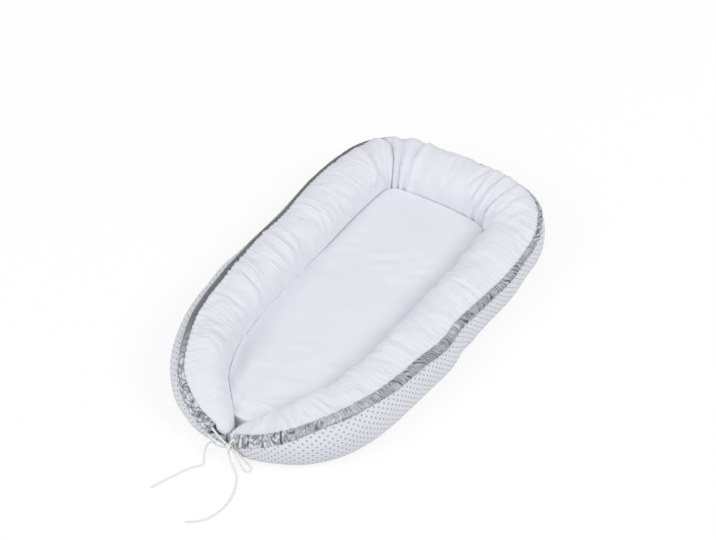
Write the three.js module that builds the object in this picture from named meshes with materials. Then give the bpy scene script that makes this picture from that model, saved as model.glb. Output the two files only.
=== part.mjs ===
// Infant lounger (baby nest): a long fibre roll laid as a U round a thin mattress, sewn into a white
// lining and a dotted outer cloth, with a gathered cord tunnel on its outer edge and a bow at the foot.
// Millimetres, +Z up, +Y towards the head, origin on the floor under the middle of the nest.

import * as THREE from 'three';
import { mergeVertices } from 'three/addons/utils/BufferGeometryUtils.js';

// Overall size of the nest, cords left out
const NEST_LENGTH = 888;
const NEST_WIDTH = 512;
const ROLL_WIDTH = 128;
const ROLL_HEIGHT = 105;
const ROLL_SQUARENESS = 2.5; // exponent of the roll's section: 2 is an ellipse, more is squarer
const ROLL_SETTLE = 5; // how far the soft roll sinks flat under its own weight

// Cloths and clearances
const CLOTH = 1.2; // one cloth with its seam allowance and fine gathers
const FIT = 0.3; // between two pieces that touch
const FILL_FIT = 0.4; // between the fibre roll and the cloth round it
const BASE_MARGIN = 1.5; // the underside cloth past the side cloth that is sewn to it

// The head's corners on the roll's centre line
const HEAD_RADIUS = 104;
const HEAD_CORNER_INSET = 2; // the corner starts this far in from the nest's widest place
const HEAD_CROWN = 4; // the head stands this far out between its corners
const HEAD_CORNER_STEPS = 4;

// The arms' ends at the foot
const TIP_ROUNDING = 195; // length over which an arm narrows and comes down to its tip
const TIP_THICKNESS = 5.5; // the two cloths pressed together at the very tip
const TIP_HEIGHT = 31;
const TIP_STATION_SHARE = 0.3; // a row of points between a tip and its tunnel mouth
const FLOOR_HEIGHT_SHARE = 0.6; // the most of the roll's height that the floor takes up

// Waist where the drawcord pulls the roll in
const WAIST_SHARE = -0.11; // its place, as a share of the nest's half length
const WAIST_LENGTH = 62;
const WAIST_DEPTH = 2.5;

// Folds of the cloths
const CORNER_FOLD = 7; // pleats at the head's corners
const ARM_FOLD = 2.4; // soft gathers along the arms
const COVER_FOLD = 1.8; // gathers of the side cloth under the tunnel
const STEPS = 64; // along the roll from mouth to mouth of the tunnel, closer together where it bends
const BEND_WEIGHT = 150; // the length of roll that counts as much as one radian of bend
const TIGHT_BEND = 110; // a bend of this radius or less has the full corner pleats

// Cord tunnel and drawcord
const TUNNEL_WIDTH = 24;
const TUNNEL_ANGLE = THREE.MathUtils.degToRad(49); // its place on the roll, up from the outer side
const TUNNEL_WALL = 1.1;
const TUNNEL_RUFFLE = 2.2; // how far every second gather stands out
const TUNNEL_MOUTH = 19; // the tunnel and the fibre stop this far from the arms' tips
const TUNNEL_JOIN = 98; // the join of its two strips, from the right arm's tip
const CORD_DIAMETER = 3.8;
const CORD_SIDES = 8;
const CORD_STEP = 10;

// Mattress and floor
const FLOOR_HEIGHT = 48; // where the roll meets the floor cloth
const FLOOR_CROWN = 5;
const POCKET_HALF = 16; // half width of the mattress's foot end, which leaves a pocket between the arms

// Bow at the foot: the knot lies along X, and every free stretch of cord starts or ends at it
const KNOT_PLACE = [21, -453, 32];
const KNOT_LENGTH = 13;
const KNOT_RADIUS = 5.4;
const KNOT_END_RADIUS = 4.6;
const KNOT_WAIST_RADIUS = 4.5;
const KNOT_SIDES = 12;
const CORD_SHOWS = 1.5; // the drawcord shows this far out of the tunnel's mouths
const bow = {
  cord_run_left: [
    [-27.5, -439.3, 41.9], [-20, -442.6, 41.2], [-8, -447, 39], [4, -450, 36.8], [14.2, -451.5, 35.2],
  ],
  cord_run_right: [
    [27.5, -439.3, 41.9], [23.6, -441.5, 41.6], [21.2, -444.2, 40.2], [20.6, -446.9, 38], [20.6, -448.9, 36],
  ],
  bow_loop_left: [
    [13.4, -455.6, 33.2], [4, -457.5, 34.5], [-8, -458.5, 36.5], [-18, -456.5, 37.8], [-24.5, -453.5, 36],
    [-27.5, -451, 31], [-24.5, -451.5, 25.5], [-16, -454.5, 23], [-4, -456, 23.5], [6, -455.8, 26],
    [13.4, -455, 29.2],
  ],
  bow_loop_right: [
    [29, -455.2, 33.6], [35.5, -453.4, 29.8], [42, -450, 21.5], [50, -446.8, 12], [58, -446.6, 5.5],
    [66, -449, 2.8], [72, -454, 2.2], [73, -460.5, 2.2], [67, -465.5, 2.2], [58, -465, 3.2],
    [48, -462, 9], [39.5, -458.5, 18], [34.5, -456.6, 25], [29, -455.4, 28.8],
  ],
  cord_tail_left: [
    [13.4, -450.8, 29.6], [6, -449.5, 27], [-3, -448.2, 23], [-12, -448.2, 20], [-20, -451, 18.5],
    [-24.2, -457, 16.5], [-24, -465, 12.5], [-20.5, -474, 8], [-15, -483, 4.2], [-10.5, -490, 2.6],
    [-10.5, -497, 2.2], [-15.5, -503.5, 2.2], [-21.5, -511, 2.2], [-28.5, -524, 2.2], [-37, -544, 2.2],
    [-46, -567, 2.2], [-55, -591, 2.2],
  ],
  cord_tail_right: [
    [21, -455.4, 26.6], [23.2, -458, 21.5], [28, -461.5, 15.5], [35, -466, 9.5], [44, -471, 4.8],
    [53, -477, 2.6], [62, -485.5, 2.2], [70, -499, 2.2], [77, -515, 2.2], [81.5, -532, 2.2],
    [83, -552, 2.2], [80.5, -573, 2.2], [75.5, -588, 2.2], [67.5, -600, 2.2], [57, -611, 2.2],
    [45, -620, 2.2],
  ],
};

// The roll's centre line, right half, from the tip up to the head's corner, as shares of its half
// width and half length
const line_shares = [
  [0.017, -1.1232], [0.33, -1.0405], [0.625, -0.92], [0.86, -0.71], [0.96, -0.415], [0.985, -0.12],
  [0.985, 0.1], [1.01, 0.48],
];
// Rows of points across each cloth, as shares of the turn from one of its edges to the other
const cover_shares = [0, 0.18, 0.45, 0.75, 1];
const upper_lining_shares = [0, 0.17, 0.37, 0.58, 0.8];
const lower_lining_shares = [0, 0.5, 1];
const inset_shares = [0.06, 0.2, 0.5, 1]; // rows from the floor's edge to its middle line
const SPINE_SHARE = 0.6; // length of that middle line against the floor's
const COVER_EDGE = THREE.MathUtils.degToRad(-66); // where the side cloth meets the underside cloth
const LINING_EDGE = THREE.MathUtils.degToRad(236); // where the lining is sewn to the floor seam
// The tunnel's outside and hollow, as shares of its width and heights above the roll's cloth
const TUNNEL_CROWN_SHARE = 0.3;
const TUNNEL_HOLLOW_SHARE = 0.24;

const finishes = {
  white_cloth: { color: 0xf1f1f4, roughness: 0.9 },
  dotted_cloth: { color: 0xe6e7ec, roughness: 0.9 },
  grey_cloth: { color: 0x9a9da6, roughness: 0.75 },
  white_cord: { color: 0xf4f4f2, roughness: 0.8 },
  fibre: { color: 0xf7f7f5, roughness: 1 },
};

const nest = new THREE.Group();
nest.name = 'infant_lounger';

function addPiece(name, geometry, finish) {
  const material = new THREE.MeshStandardMaterial({ ...finishes[finish], metalness: 0 });
  const mesh = new THREE.Mesh(geometry, material);
  mesh.name = name;
  nest.add(mesh);
}

// The solids

function signedVolume(positions, triangles) {
  const corner = (i) => new THREE.Vector3().fromArray(positions, triangles[i] * 3);
  let volume = 0;
  for (let i = 0; i < triangles.length; i += 3) {
    volume += corner(i).dot(corner(i + 1).cross(corner(i + 2)));
  }
  return volume;
}

// One closed body with its faces pointing out; faces that have collapsed drop out
function closedBody(geometry) {
  geometry.deleteAttribute('normal');
  geometry.deleteAttribute('uv');
  const merged = mergeVertices(geometry, CLOTH / 1000);
  const triangles = [];
  for (let i = 0; i < merged.index.count; i += 3) {
    const [a, b, c] = merged.index.array.slice(i, i + 3);
    if (a !== b && b !== c && c !== a) triangles.push(a, b, c);
  }
  if (signedVolume(merged.attributes.position.array, triangles) < 0) triangles.reverse();
  merged.setIndex(triangles);
  merged.computeVertexNormals();
  return merged;
}

function bodyFromFaces(points, faces) {
  const geometry = new THREE.BufferGeometry().setFromPoints(points);
  geometry.setIndex(faces.flatMap(([a, b, c, d]) => (d === undefined ? [a, b, c] : [a, b, c, a, c, d])));
  return closedBody(geometry);
}

// Faces of a grid of points; the last column joins the first where the rows are closed rings
function gridFaces(rows, { first = 0, closed = true, inward = false } = {}) {
  const count = rows[0].length;
  const faces = [];
  for (let i = 0; i + 1 < rows.length; i += 1) {
    for (let j = 0; j < (closed ? count : count - 1); j += 1) {
      const near = first + i * count;
      const next = (j + 1) % count;
      const [a, b, c, d] = [near + j, near + next, near + count + next, near + count + j];
      faces.push(inward ? [a, d, c, b] : [a, b, c, d]);
    }
  }
  return faces;
}

// A solid through the rings, each end closed by a fan from its middle
function solidThroughRings(rings) {
  const points = rings.flat();
  const faces = gridFaces(rings);
  [rings[0], rings[rings.length - 1]].forEach((ring, end) => {
    const start = end * (rings.length - 1) * ring.length;
    const middle = points.length;
    points.push(ring.reduce((sum, p) => sum.add(p), new THREE.Vector3()).divideScalar(ring.length));
    ring.forEach((_, j) => {
      const edge = [start + j, start + ((j + 1) % ring.length)];
      faces.push(end ? [middle, edge[0], edge[1]] : [middle, edge[1], edge[0]]);
    });
  });
  return bodyFromFaces(points, faces);
}

// A cloth from rows of points on its outer face and on its inner face, closed round its four edges
function clothBetween(outerRows, innerRows) {
  const inside = outerRows.flat().length;
  const [rows, columns] = [outerRows.length, outerRows[0].length];
  const faces = [
    ...gridFaces(outerRows, { closed: false }),
    ...gridFaces(innerRows, { first: inside, closed: false, inward: true }),
  ];
  for (let i = 0; i + 1 < rows; i += 1) {
    const low = i * columns;
    const high = low + columns - 1;
    faces.push([low, low + columns, inside + low + columns, inside + low]);
    faces.push([high + columns, high, inside + high, inside + high + columns]);
  }
  for (let j = 0; j + 1 < columns; j += 1) {
    const end = (rows - 1) * columns + j;
    faces.push([j + 1, j, inside + j, inside + j + 1]);
    faces.push([end, end + 1, inside + end + 1, inside + end]);
  }
  return bodyFromFaces([...outerRows, ...innerRows].flat(), faces);
}

// A hollow strip open at both ends, from its outside rings and its hollow rings
function openTube(outerRings, hollowRings) {
  const outerCount = outerRings[0].length;
  const hollowCount = hollowRings[0].length;
  const hollowStart = outerRings.length * outerCount;
  const points = [...outerRings.flat(), ...hollowRings.flat()];
  const faces = [...gridFaces(outerRings), ...gridFaces(hollowRings, { first: hollowStart, inward: true })];
  [0, outerRings.length - 1].forEach((i) => {
    const rim = rimFaces(outerRings[i], hollowRings[i], i * outerCount, hollowStart + i * hollowCount);
    faces.push(...(i === 0 ? rim : rim.map((face) => face.slice().reverse())));
  });
  return bodyFromFaces(points, faces);
}

// The ring-shaped end face between an outside loop and a hollow loop that start at the same side
function rimFaces(outer, hollow, outerStart, hollowStart) {
  const faces = [];
  let [i, j] = [0, 0];
  while (i < outer.length || j < hollow.length) {
    const outerShare = (i + 1) / outer.length;
    const hollowShare = (j + 1) / hollow.length;
    const [o, h] = [outerStart + (i % outer.length), hollowStart + (j % hollow.length)];
    if (j === hollow.length || (i < outer.length && outerShare <= hollowShare)) {
      faces.push([o, h, outerStart + ((i + 1) % outer.length)]);
      i += 1;
    } else {
      faces.push([o, h, hollowStart + ((j + 1) % hollow.length)]);
      j += 1;
    }
  }
  return faces;
}

// The roll's centre line and its stations

const halfLineWidth = (NEST_WIDTH - ROLL_WIDTH) / 2;
const halfLineLength = (NEST_LENGTH - ROLL_WIDTH) / 2;

function makeCentreLine() {
  const arm = line_shares.map(([x, y]) => new THREE.Vector3(x * halfLineWidth, y * halfLineLength, 0));
  const [x, y] = [halfLineWidth - HEAD_CORNER_INSET - HEAD_RADIUS, halfLineLength - HEAD_CROWN - HEAD_RADIUS];
  const corner = Array.from({ length: HEAD_CORNER_STEPS + 1 }, (_, i) => {
    const turn = ((Math.PI / 2) * i) / HEAD_CORNER_STEPS;
    return new THREE.Vector3(x + HEAD_RADIUS * Math.cos(turn), y + HEAD_RADIUS * Math.sin(turn), 0);
  });
  const right = [...arm, ...corner];
  const left = right.map((p) => new THREE.Vector3(-p.x, p.y, 0)).reverse();
  const head = new THREE.Vector3(0, halfLineLength, 0);
  const line = new THREE.CatmullRomCurve3([...right, head, ...left], false, 'centripetal');
  line.arcLengthDivisions = 2000;
  return line;
}

// Two stations at each tip, and between the tunnel's mouths even steps of length and bend together
function makeStations(line, samples = 1600) {
  const length = line.getLength();
  const first = TUNNEL_MOUTH / length;
  const shares = Array.from({ length: samples + 1 }, (_, i) => first + ((1 - 2 * first) * i) / samples);
  const tangents = shares.map((share) => line.getTangentAt(share));
  const effort = [0];
  for (let i = 1; i <= samples; i += 1) {
    const bend = tangents[i].angleTo(tangents[i - 1]);
    effort.push(effort[i - 1] + (shares[i] - shares[i - 1]) * length + BEND_WEIGHT * bend);
  }
  const chosen = Array.from({ length: STEPS + 1 }, (_, i) => {
    const wanted = (effort[samples] * i) / STEPS;
    const after = Math.max(effort.findIndex((value) => value >= wanted), 1);
    const part = (wanted - effort[after - 1]) / (effort[after] - effort[after - 1]);
    return THREE.MathUtils.lerp(shares[after - 1], shares[after], part);
  });
  const tip = [0, first * TIP_STATION_SHARE];
  const all = [...tip, ...chosen, ...tip.map((share) => 1 - share).reverse()];
  return all.map((share, index) => makeStation(line, share, length, index));
}

function makeStation(line, share, length, index) {
  const along = line.getTangentAt(share);
  const step = TIP_ROUNDING / length / 4;
  const [before, after] = [Math.max(share - step, 0), Math.min(share + step, 1)];
  const bend = line.getTangentAt(before).angleTo(line.getTangentAt(after)) / ((after - before) * length);
  return {
    place: line.getPointAt(share),
    outward: new THREE.Vector3(along.y, -along.x, 0),
    fromTip: Math.min(share, 1 - share) * length,
    fromRightTip: share * length,
    bendShare: Math.min(bend * TIGHT_BEND, 1),
    folded: index % 2,
    tip: Math.min(share, 1 - share) * length < TUNNEL_MOUTH * (1 - TIP_STATION_SHARE),
  };
}

// The roll's section

function power(value, exponent) {
  return Math.sign(value) * Math.abs(value) ** exponent;
}

function sectionHalves(station) {
  const fromEnd = Math.min(station.fromTip / TIP_ROUNDING, 1);
  const rounding = Math.sqrt(1 - (1 - fromEnd) ** 2);
  const fromWaist = station.place.y - (WAIST_SHARE * NEST_LENGTH) / 2;
  const waist = WAIST_DEPTH * Math.exp(-((fromWaist / WAIST_LENGTH) ** 2));
  const height = THREE.MathUtils.lerp(TIP_HEIGHT, ROLL_HEIGHT, rounding ** 2) + ROLL_SETTLE;
  return {
    width: Math.max(TIP_THICKNESS / 2, (ROLL_WIDTH / 2 - waist) * rounding),
    height: height / 2,
  };
}

// A point of the section: turn 0 is the roll's outer side, a quarter turn its top. Depth goes in from
// the cloths' outer face, and the point never goes through the underside cloth.
function sectionPoint(station, turn, depth) {
  const half = sectionHalves(station);
  const outward = (half.width - depth) * power(Math.cos(turn), 2 / ROLL_SQUARENESS);
  const rise = (half.height - depth) * power(Math.sin(turn), 2 / ROLL_SQUARENESS);
  const height = Math.max(half.height - ROLL_SETTLE + rise, CLOTH + FIT + Math.max(depth, 0));
  return station.place.clone().addScaledVector(station.outward, outward).setZ(height);
}

// The turn at which the roll's inner side meets the floor cloth, or would past the floor's foot end
function floorTurn(station) {
  const half = sectionHalves(station);
  const height = Math.min(FLOOR_HEIGHT, FLOOR_HEIGHT_SHARE * (2 * half.height - ROLL_SETTLE));
  const below = (half.height - ROLL_SETTLE - height) / half.height;
  return Math.PI + Math.asin(power(below, ROLL_SQUARENESS / 2));
}

// Half the turn that the tunnel, or past its mouths the plain seam, takes up at a station
function tunnelHalfTurn(station) {
  const small = THREE.MathUtils.degToRad(1);
  const arc = sectionPoint(station, TUNNEL_ANGLE + small, 0).distanceTo(
    sectionPoint(station, TUNNEL_ANGLE - small, 0),
  );
  const width = station.tip ? FIT : TUNNEL_WIDTH;
  return (width * small) / arc;
}

// The cloths and what they hold

function coverTurns(station) {
  const top = TUNNEL_ANGLE - tunnelHalfTurn(station);
  return cover_shares.map((share) => THREE.MathUtils.lerp(COVER_EDGE, top, share));
}

function liningTurns(station) {
  const top = TUNNEL_ANGLE + tunnelHalfTurn(station);
  const floor = floorTurn(station);
  return [
    ...upper_lining_shares.map((share) => THREE.MathUtils.lerp(top, floor, share)),
    ...lower_lining_shares.map((share) => THREE.MathUtils.lerp(floor, LINING_EDGE, share)),
  ];
}

// How far a fold goes in at a share of the way across its cloth, nothing at both edges
function foldDepth(station, deepest, across) {
  return station.folded * deepest * Math.sin(Math.PI * across) ** 2;
}

function coverRow(station, depth) {
  return coverTurns(station).map((turn, j) => {
    const fold = foldDepth(station, COVER_FOLD, cover_shares[j]);
    return sectionPoint(station, turn, depth + fold);
  });
}

function liningFold(station, j) {
  if (j >= upper_lining_shares.length) return 0;
  const rounding = Math.min(station.fromTip / TIP_ROUNDING, 1);
  const deepest = THREE.MathUtils.lerp(ARM_FOLD, CORNER_FOLD, station.bendShare) * rounding;
  return foldDepth(station, deepest, upper_lining_shares[j]);
}

function liningRow(station, depth) {
  return liningTurns(station).map((turn, j) => sectionPoint(station, turn, depth + liningFold(station, j)));
}

function addRollCloths(stations) {
  addPiece('bolster_lining', clothBetween(
    stations.map((s) => liningRow(s, 0)),
    stations.map((s) => liningRow(s, CLOTH)),
  ), 'white_cloth');
  addPiece('outer_cover', clothBetween(
    stations.map((s) => coverRow(s, 0)),
    stations.map((s) => coverRow(s, CLOTH)),
  ), 'dotted_cloth');
}

// The fibre roll fills both cloths, folds included
function addFilling(stations) {
  const depth = CLOTH + FILL_FIT;
  const rings = stations.filter((s) => !s.tip).map((s) => [
    ...coverRow(s, depth),
    sectionPoint(s, TUNNEL_ANGLE, depth),
    ...liningRow(s, depth),
  ]);
  addPiece('bolster_filling', solidThroughRings(rings), 'fibre');
}

// The underside cloth reaches under the whole nest, just past the side cloth's lower edge
function addBase(stations) {
  const edge = stations.map((s) => {
    const point = sectionPoint(s, COVER_EDGE, 0).addScaledVector(s.outward, BASE_MARGIN);
    return new THREE.Vector2(point.x, point.y);
  });
  const geometry = new THREE.ExtrudeGeometry(new THREE.Shape(edge), { depth: CLOTH, bevelEnabled: false });
  addPiece('base_cloth', closedBody(geometry), 'dotted_cloth');
}

// Rows of the floor, from its middle line out to its edge and down to the seam at the foot of the roll.
// Clear is the way out from the roll's lining, and drop the way down from the floor's top.
function floorRows(stations, clear, drop) {
  const sides = lower_lining_shares.map((_, j) => stations.map((s) => {
    const turn = liningTurns(s)[upper_lining_shares.length + j];
    return sectionPoint(s, turn, -clear);
  }));
  const edge = sides[0].map((p) => p.setZ(p.z - drop));
  const middles = middleLine(edge).map((p) => p.setZ(FLOOR_HEIGHT - drop));
  const insets = inset_shares.map((share) => edge.map((p, i) => {
    const crown = FLOOR_CROWN * (1 - (1 - share) ** 2) ** 2;
    const point = p.clone().lerp(middles[i], share);
    return point.setZ(point.z + crown);
  }));
  return [...insets.reverse(), ...sides];
}

// Where the rows of a floor's edge come together: each point is shared by its left and right twins
function middleLine(edge) {
  return edge.map((p, i) => {
    const middle = p.clone().add(edge[edge.length - 1 - i]).divideScalar(2);
    return middle.setY(middle.y * SPINE_SHARE);
  });
}

// The floor cloth wraps the mattress from above and goes down between it and the roll
function addFloor(stations) {
  const open = stations.filter((s) => s.place.y > 0 || Math.abs(floorEdge(s).x) >= POCKET_HALF);
  const outer = floorRows(open, FIT, 0);
  const inner = floorRows(open, FIT + CLOTH, CLOTH);
  addPiece('floor_cloth', bodyBetweenSheets(outer, inner), 'white_cloth');
  const pad = floorRows(open, CLOTH + 2 * FIT, CLOTH + FIT);
  const rings = [...pad, middleLine(pad[pad.length - 1])];
  addPiece('mattress_pad', bodyFromFaces(rings.flat(), gridFaces(rings)), 'fibre');
}

function floorEdge(station) {
  return sectionPoint(station, floorTurn(station), 0);
}

// Two nested sheets, each folded shut along its first row, joined along their last rows
function bodyBetweenSheets(outer, inner) {
  const inside = outer.flat().length;
  const count = outer[0].length;
  const rim = inside - count;
  const faces = [...gridFaces(outer), ...gridFaces(inner, { first: inside, inward: true })];
  for (let j = 0; j < count; j += 1) {
    const k = (j + 1) % count;
    faces.push([rim + j, rim + k, inside + rim + k, inside + rim + j]);
  }
  return bodyFromFaces([...outer, ...inner].flat(), faces);
}

// The cord tunnel

// Across the tunnel: share goes from its lower edge to its upper edge, rise is out from the roll
function tunnelFrame(station) {
  const half = tunnelHalfTurn(station);
  const [low, middle, high] = [-half, 0, half].map((turn) => sectionPoint(station, TUNNEL_ANGLE + turn, 0));
  const across = high.clone().sub(low).normalize();
  const along = new THREE.Vector3(-station.outward.y, station.outward.x, 0);
  const out = across.clone().cross(along).normalize();
  if (out.dot(station.outward) < 0) out.negate();
  const swell = middle.clone().sub(low).dot(out);
  const at = (share, rise) => low.clone().lerp(high, share).addScaledVector(out, swell + rise);
  const onRoll = (share, rise) => at(share, rise - swell * Math.abs(1 - 2 * share));
  return { at, onRoll, across, out };
}

const hollowTop = CORD_DIAMETER + 2 * FIT;
const crownTop = hollowTop + TUNNEL_WALL;
const edgeShare = FIT / TUNNEL_WIDTH;

function tunnelOutside(station, ruffle) {
  const { at, onRoll } = tunnelFrame(station);
  const crown = crownTop + ruffle;
  return [
    onRoll(edgeShare, -CLOTH / 2), at(TUNNEL_CROWN_SHARE, crown), at(1 - TUNNEL_CROWN_SHARE, crown),
    onRoll(1 - edgeShare, -CLOTH / 2), onRoll(1 / 2, -CLOTH),
  ];
}

function tunnelHollow(station) {
  const { at, onRoll } = tunnelFrame(station);
  return [
    onRoll(TUNNEL_HOLLOW_SHARE, FIT), at(TUNNEL_CROWN_SHARE, hollowTop), at(1 - TUNNEL_CROWN_SHARE, hollowTop),
    onRoll(1 - TUNNEL_HOLLOW_SHARE, FIT), onRoll(1 / 2, 0),
  ];
}

function between(a, b, share) {
  return a.map((p, j) => p.clone().lerp(b[j], share));
}

// Rings at the stations and half way between them, where a gather stands out; the strip's two ends
// may lie between stations too, and there a ring is on the straight line between its neighbours
function tunnelRings(stations, from, to, ring) {
  const halves = Array.from({ length: stations.length * 2 }, (_, k) => k / 2);
  const inner = halves.filter((place) => place > from + edgeShare && place < to - edgeShare);
  return [from, ...inner, to].map((place) => {
    const low = Math.floor(place);
    const high = Math.min(low + 1, stations.length - 1);
    const ruffle = place - low === 1 / 2 ? TUNNEL_RUFFLE : 0;
    return between(ring(stations[low], ruffle), ring(stations[high], ruffle), place - low);
  });
}

function addTunnelStrip(name, stations, from, to) {
  addPiece(name, openTube(
    tunnelRings(stations, from, to, tunnelOutside),
    tunnelRings(stations, from, to, tunnelHollow),
  ), 'grey_cloth');
}

function roundSection(radius, sides) {
  return Array.from({ length: sides }, (_, k) => {
    const turn = (k * 2 * Math.PI) / sides;
    return new THREE.Vector2(Math.cos(turn), Math.sin(turn)).multiplyScalar(radius);
  });
}

function cordRing(station) {
  const { at, across, out } = tunnelFrame(station);
  const centre = at(1 / 2, hollowTop / 2);
  return roundSection(CORD_DIAMETER / 2, CORD_SIDES).map((p) => (
    centre.clone().addScaledVector(across, p.x).addScaledVector(out, p.y)
  ));
}

// The drawcord lies in both strips and just shows at the mouths
function addTunnel(stations) {
  const [first, last] = [2, stations.length - 3];
  const join = stations.findIndex((s) => s.fromRightTip >= TUNNEL_JOIN);
  const joinGap = FIT / stations[join].place.distanceTo(stations[join + 1].place);
  addTunnelStrip('tunnel_strip_short', stations, first, join);
  addTunnelStrip('tunnel_strip_long', stations, join + joinGap, last);
  const rings = stations.slice(first, last + 1).map(cordRing);
  const ends = [stations[first], stations[last]].map((s, i) => {
    const shift = new THREE.Vector3(s.outward.y, -s.outward.x, 0).multiplyScalar(i ? -1 : 1);
    return cordRing(s).map((p) => p.addScaledVector(shift, CORD_SHOWS));
  });
  addPiece('drawcord', solidThroughRings([ends[0], ...rings, ends[1]]), 'white_cord');
}

// The bow

function addBow() {
  const section = new THREE.Shape(roundSection(CORD_DIAMETER / 2, CORD_SIDES));
  Object.entries(bow).forEach(([name, places]) => {
    const extrudePath = new THREE.CatmullRomCurve3(places.map((place) => new THREE.Vector3(...place)));
    const steps = Math.max(Math.round(extrudePath.getLength() / CORD_STEP), 2);
    const geometry = new THREE.ExtrudeGeometry(section, { steps, extrudePath, bevelEnabled: false });
    addPiece(name, closedBody(geometry), 'white_cord');
  });
}

// Two wraps of the cord, with a waist between them
function addKnot() {
  const half = KNOT_LENGTH / 2;
  const profile = [
    [0, -half], [KNOT_END_RADIUS, -half], [KNOT_RADIUS, -half / 2], [KNOT_WAIST_RADIUS, 0],
    [KNOT_RADIUS, half / 2], [KNOT_END_RADIUS, half], [0, half],
  ].map(([x, y]) => new THREE.Vector2(x, y));
  const geometry = new THREE.LatheGeometry(profile, KNOT_SIDES).rotateZ(Math.PI / 2);
  addPiece('bow_knot', closedBody(geometry.translate(...KNOT_PLACE)), 'white_cord');
}

const stations = makeStations(makeCentreLine());
addFilling(stations);
addRollCloths(stations);
addBase(stations);
addFloor(stations);
addTunnel(stations);
addBow();
addKnot();

export default nest;
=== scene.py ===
"""Looks of an infant lounger: cloths, filling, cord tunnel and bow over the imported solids."""

import math

import bpy
import numpy as np
from bpy.props import FloatProperty, FloatVectorProperty, IntProperty, PointerProperty
from mathutils import Matrix, Vector


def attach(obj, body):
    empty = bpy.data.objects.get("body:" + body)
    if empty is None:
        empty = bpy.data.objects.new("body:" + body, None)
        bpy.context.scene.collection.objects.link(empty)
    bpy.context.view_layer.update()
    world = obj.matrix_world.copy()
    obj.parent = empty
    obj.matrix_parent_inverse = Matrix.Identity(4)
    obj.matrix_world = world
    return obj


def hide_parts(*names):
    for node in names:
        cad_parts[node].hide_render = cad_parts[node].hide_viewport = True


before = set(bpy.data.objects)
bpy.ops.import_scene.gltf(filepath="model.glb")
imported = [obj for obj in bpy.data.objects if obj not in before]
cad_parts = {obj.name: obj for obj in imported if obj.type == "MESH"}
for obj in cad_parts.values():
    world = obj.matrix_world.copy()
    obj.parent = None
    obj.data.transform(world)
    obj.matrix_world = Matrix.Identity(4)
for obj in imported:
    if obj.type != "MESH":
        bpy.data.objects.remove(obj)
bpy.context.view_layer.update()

bl_info = {
    "name": "Infant Lounger",
    "version": (1, 0, 0),
    "blender": (4, 5, 0),
    "location": "3D View > Sidebar > Lounger",
    "description": "Builds the cloths, filling, cord tunnel and bow of an infant lounger",
    "category": "Object",
}

# The roll's centre line, right half, from the tip up to the head's corner: shares of half the
# width and half the length
LINE_SHARES = (
    (0.017, -1.1232), (0.33, -1.0405), (0.625, -0.92), (0.86, -0.71), (0.96, -0.415),
    (0.985, -0.12), (0.985, 0.1), (1.01, 0.48),
)

# Where the stuffed roll strays from the even one: place along it (m); how far its line, outer
# side, inner side and top lie further out (mm); the cord tunnel's turn (degrees) and share of its
# full width
ROLL_SHAPE = (
    (0.000, 0, 0, 0, 0, 42, 1.00), (0.060, 0, 0, 0, 0, 44, 1.00), (0.100, 0, 1, 0, 0, 48, 0.98),
    (0.133, 0, 4, 0, 0, 57, 0.86), (0.165, 0, 7, 0, 0, 62, 0.85), (0.200, 0, 9, 0, 0, 64, 0.88),
    (0.235, 0, 6, 0, 0, 64, 0.85), (0.270, 0, 4, 0, 0, 61, 0.82), (0.307, 0, 3, 0, 0, 57, 0.84),
    (0.347, 0, 2, 0, 0, 54.5, 0.82), (0.385, 0, 1, 0, 0, 52, 0.84), (0.425, 0, 3, 0, 0, 46.5, 0.86),
    (0.455, 0, 4, 0, 0, 45, 0.84), (0.505, 0, -4, 0, 0, 43, 0.78), (0.545, -1, -2, 0, 0, 41, 0.78),
    (0.588, -2, -2, 0, 0, 37, 0.77), (0.630, -2.5, -2, 0, 0, 35, 0.74),
    (0.670, -2, -1, 0, 0, 34, 0.74), (0.710, -4, -1.5, 0, 0, 32, 0.70),
    (0.750, -6, -3, 0, 0, 30.5, 0.64), (0.793, -6, -2, 0, 0, 34, 0.56),
    (0.830, -6, -1, 0, 0, 38, 0.52), (0.865, -4, 0, 0, 0, 33, 0.52), (0.900, -2, 0, 0, 0, 26, 0.56),
    (0.950, 0, 0, 0, 0, 23, 0.56), (1.020, 0, -1, 0, 0, 22, 0.56), (1.080, 0, -4, 0, -3, 22, 0.56),
    (1.150, 0, -3, 0, -3, 24, 0.56), (1.200, 0, 0, 0, 0, 32, 0.44), (1.235, 0, -1, 0, 0, 40, 0.34),
    (1.294, 0, -1, 0, 0, 41, 0.32), (1.337, 0, -1, 0, 0, 40, 0.32), (1.376, 0, -2, 0, 0, 39, 0.33),
    (1.415, 0, -3, 0, -1, 41, 0.34), (1.463, 0, -4, 0, -1, 46, 0.35),
    (1.502, 0, -2, 0, 0, 47, 0.36), (1.538, 0, -1, 0, 0, 44, 0.38), (1.574, 0, -2, 0, 0, 47, 0.41),
    (1.620, 0, -3, 0, 0, 55, 0.44), (1.660, 0, -1, 0, 0, 60, 0.46), (1.700, 0, -2, 0, 0, 61, 0.50),
    (1.741, 0, -3, 0, 0, 60, 0.54), (1.780, 0, -4, 0, 0, 61.5, 0.54),
    (1.818, 0, -6, -2, 0, 61, 0.54), (1.860, 0, -6, -5, 0, 61, 0.54),
    (1.897, 0, -4, -8, 0, 57.5, 0.54), (1.927, 0, -1, -9, 0, 50, 0.62),
    (1.958, 0, 0, -8, 0, 42, 0.86), (1.990, 0, 1, -6, 0, 38, 0.92), (2.020, 0, 0, -3, 0, 37, 0.95),
    (2.070, 0, 0, 0, 0, 37, 0.95),
)

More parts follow.
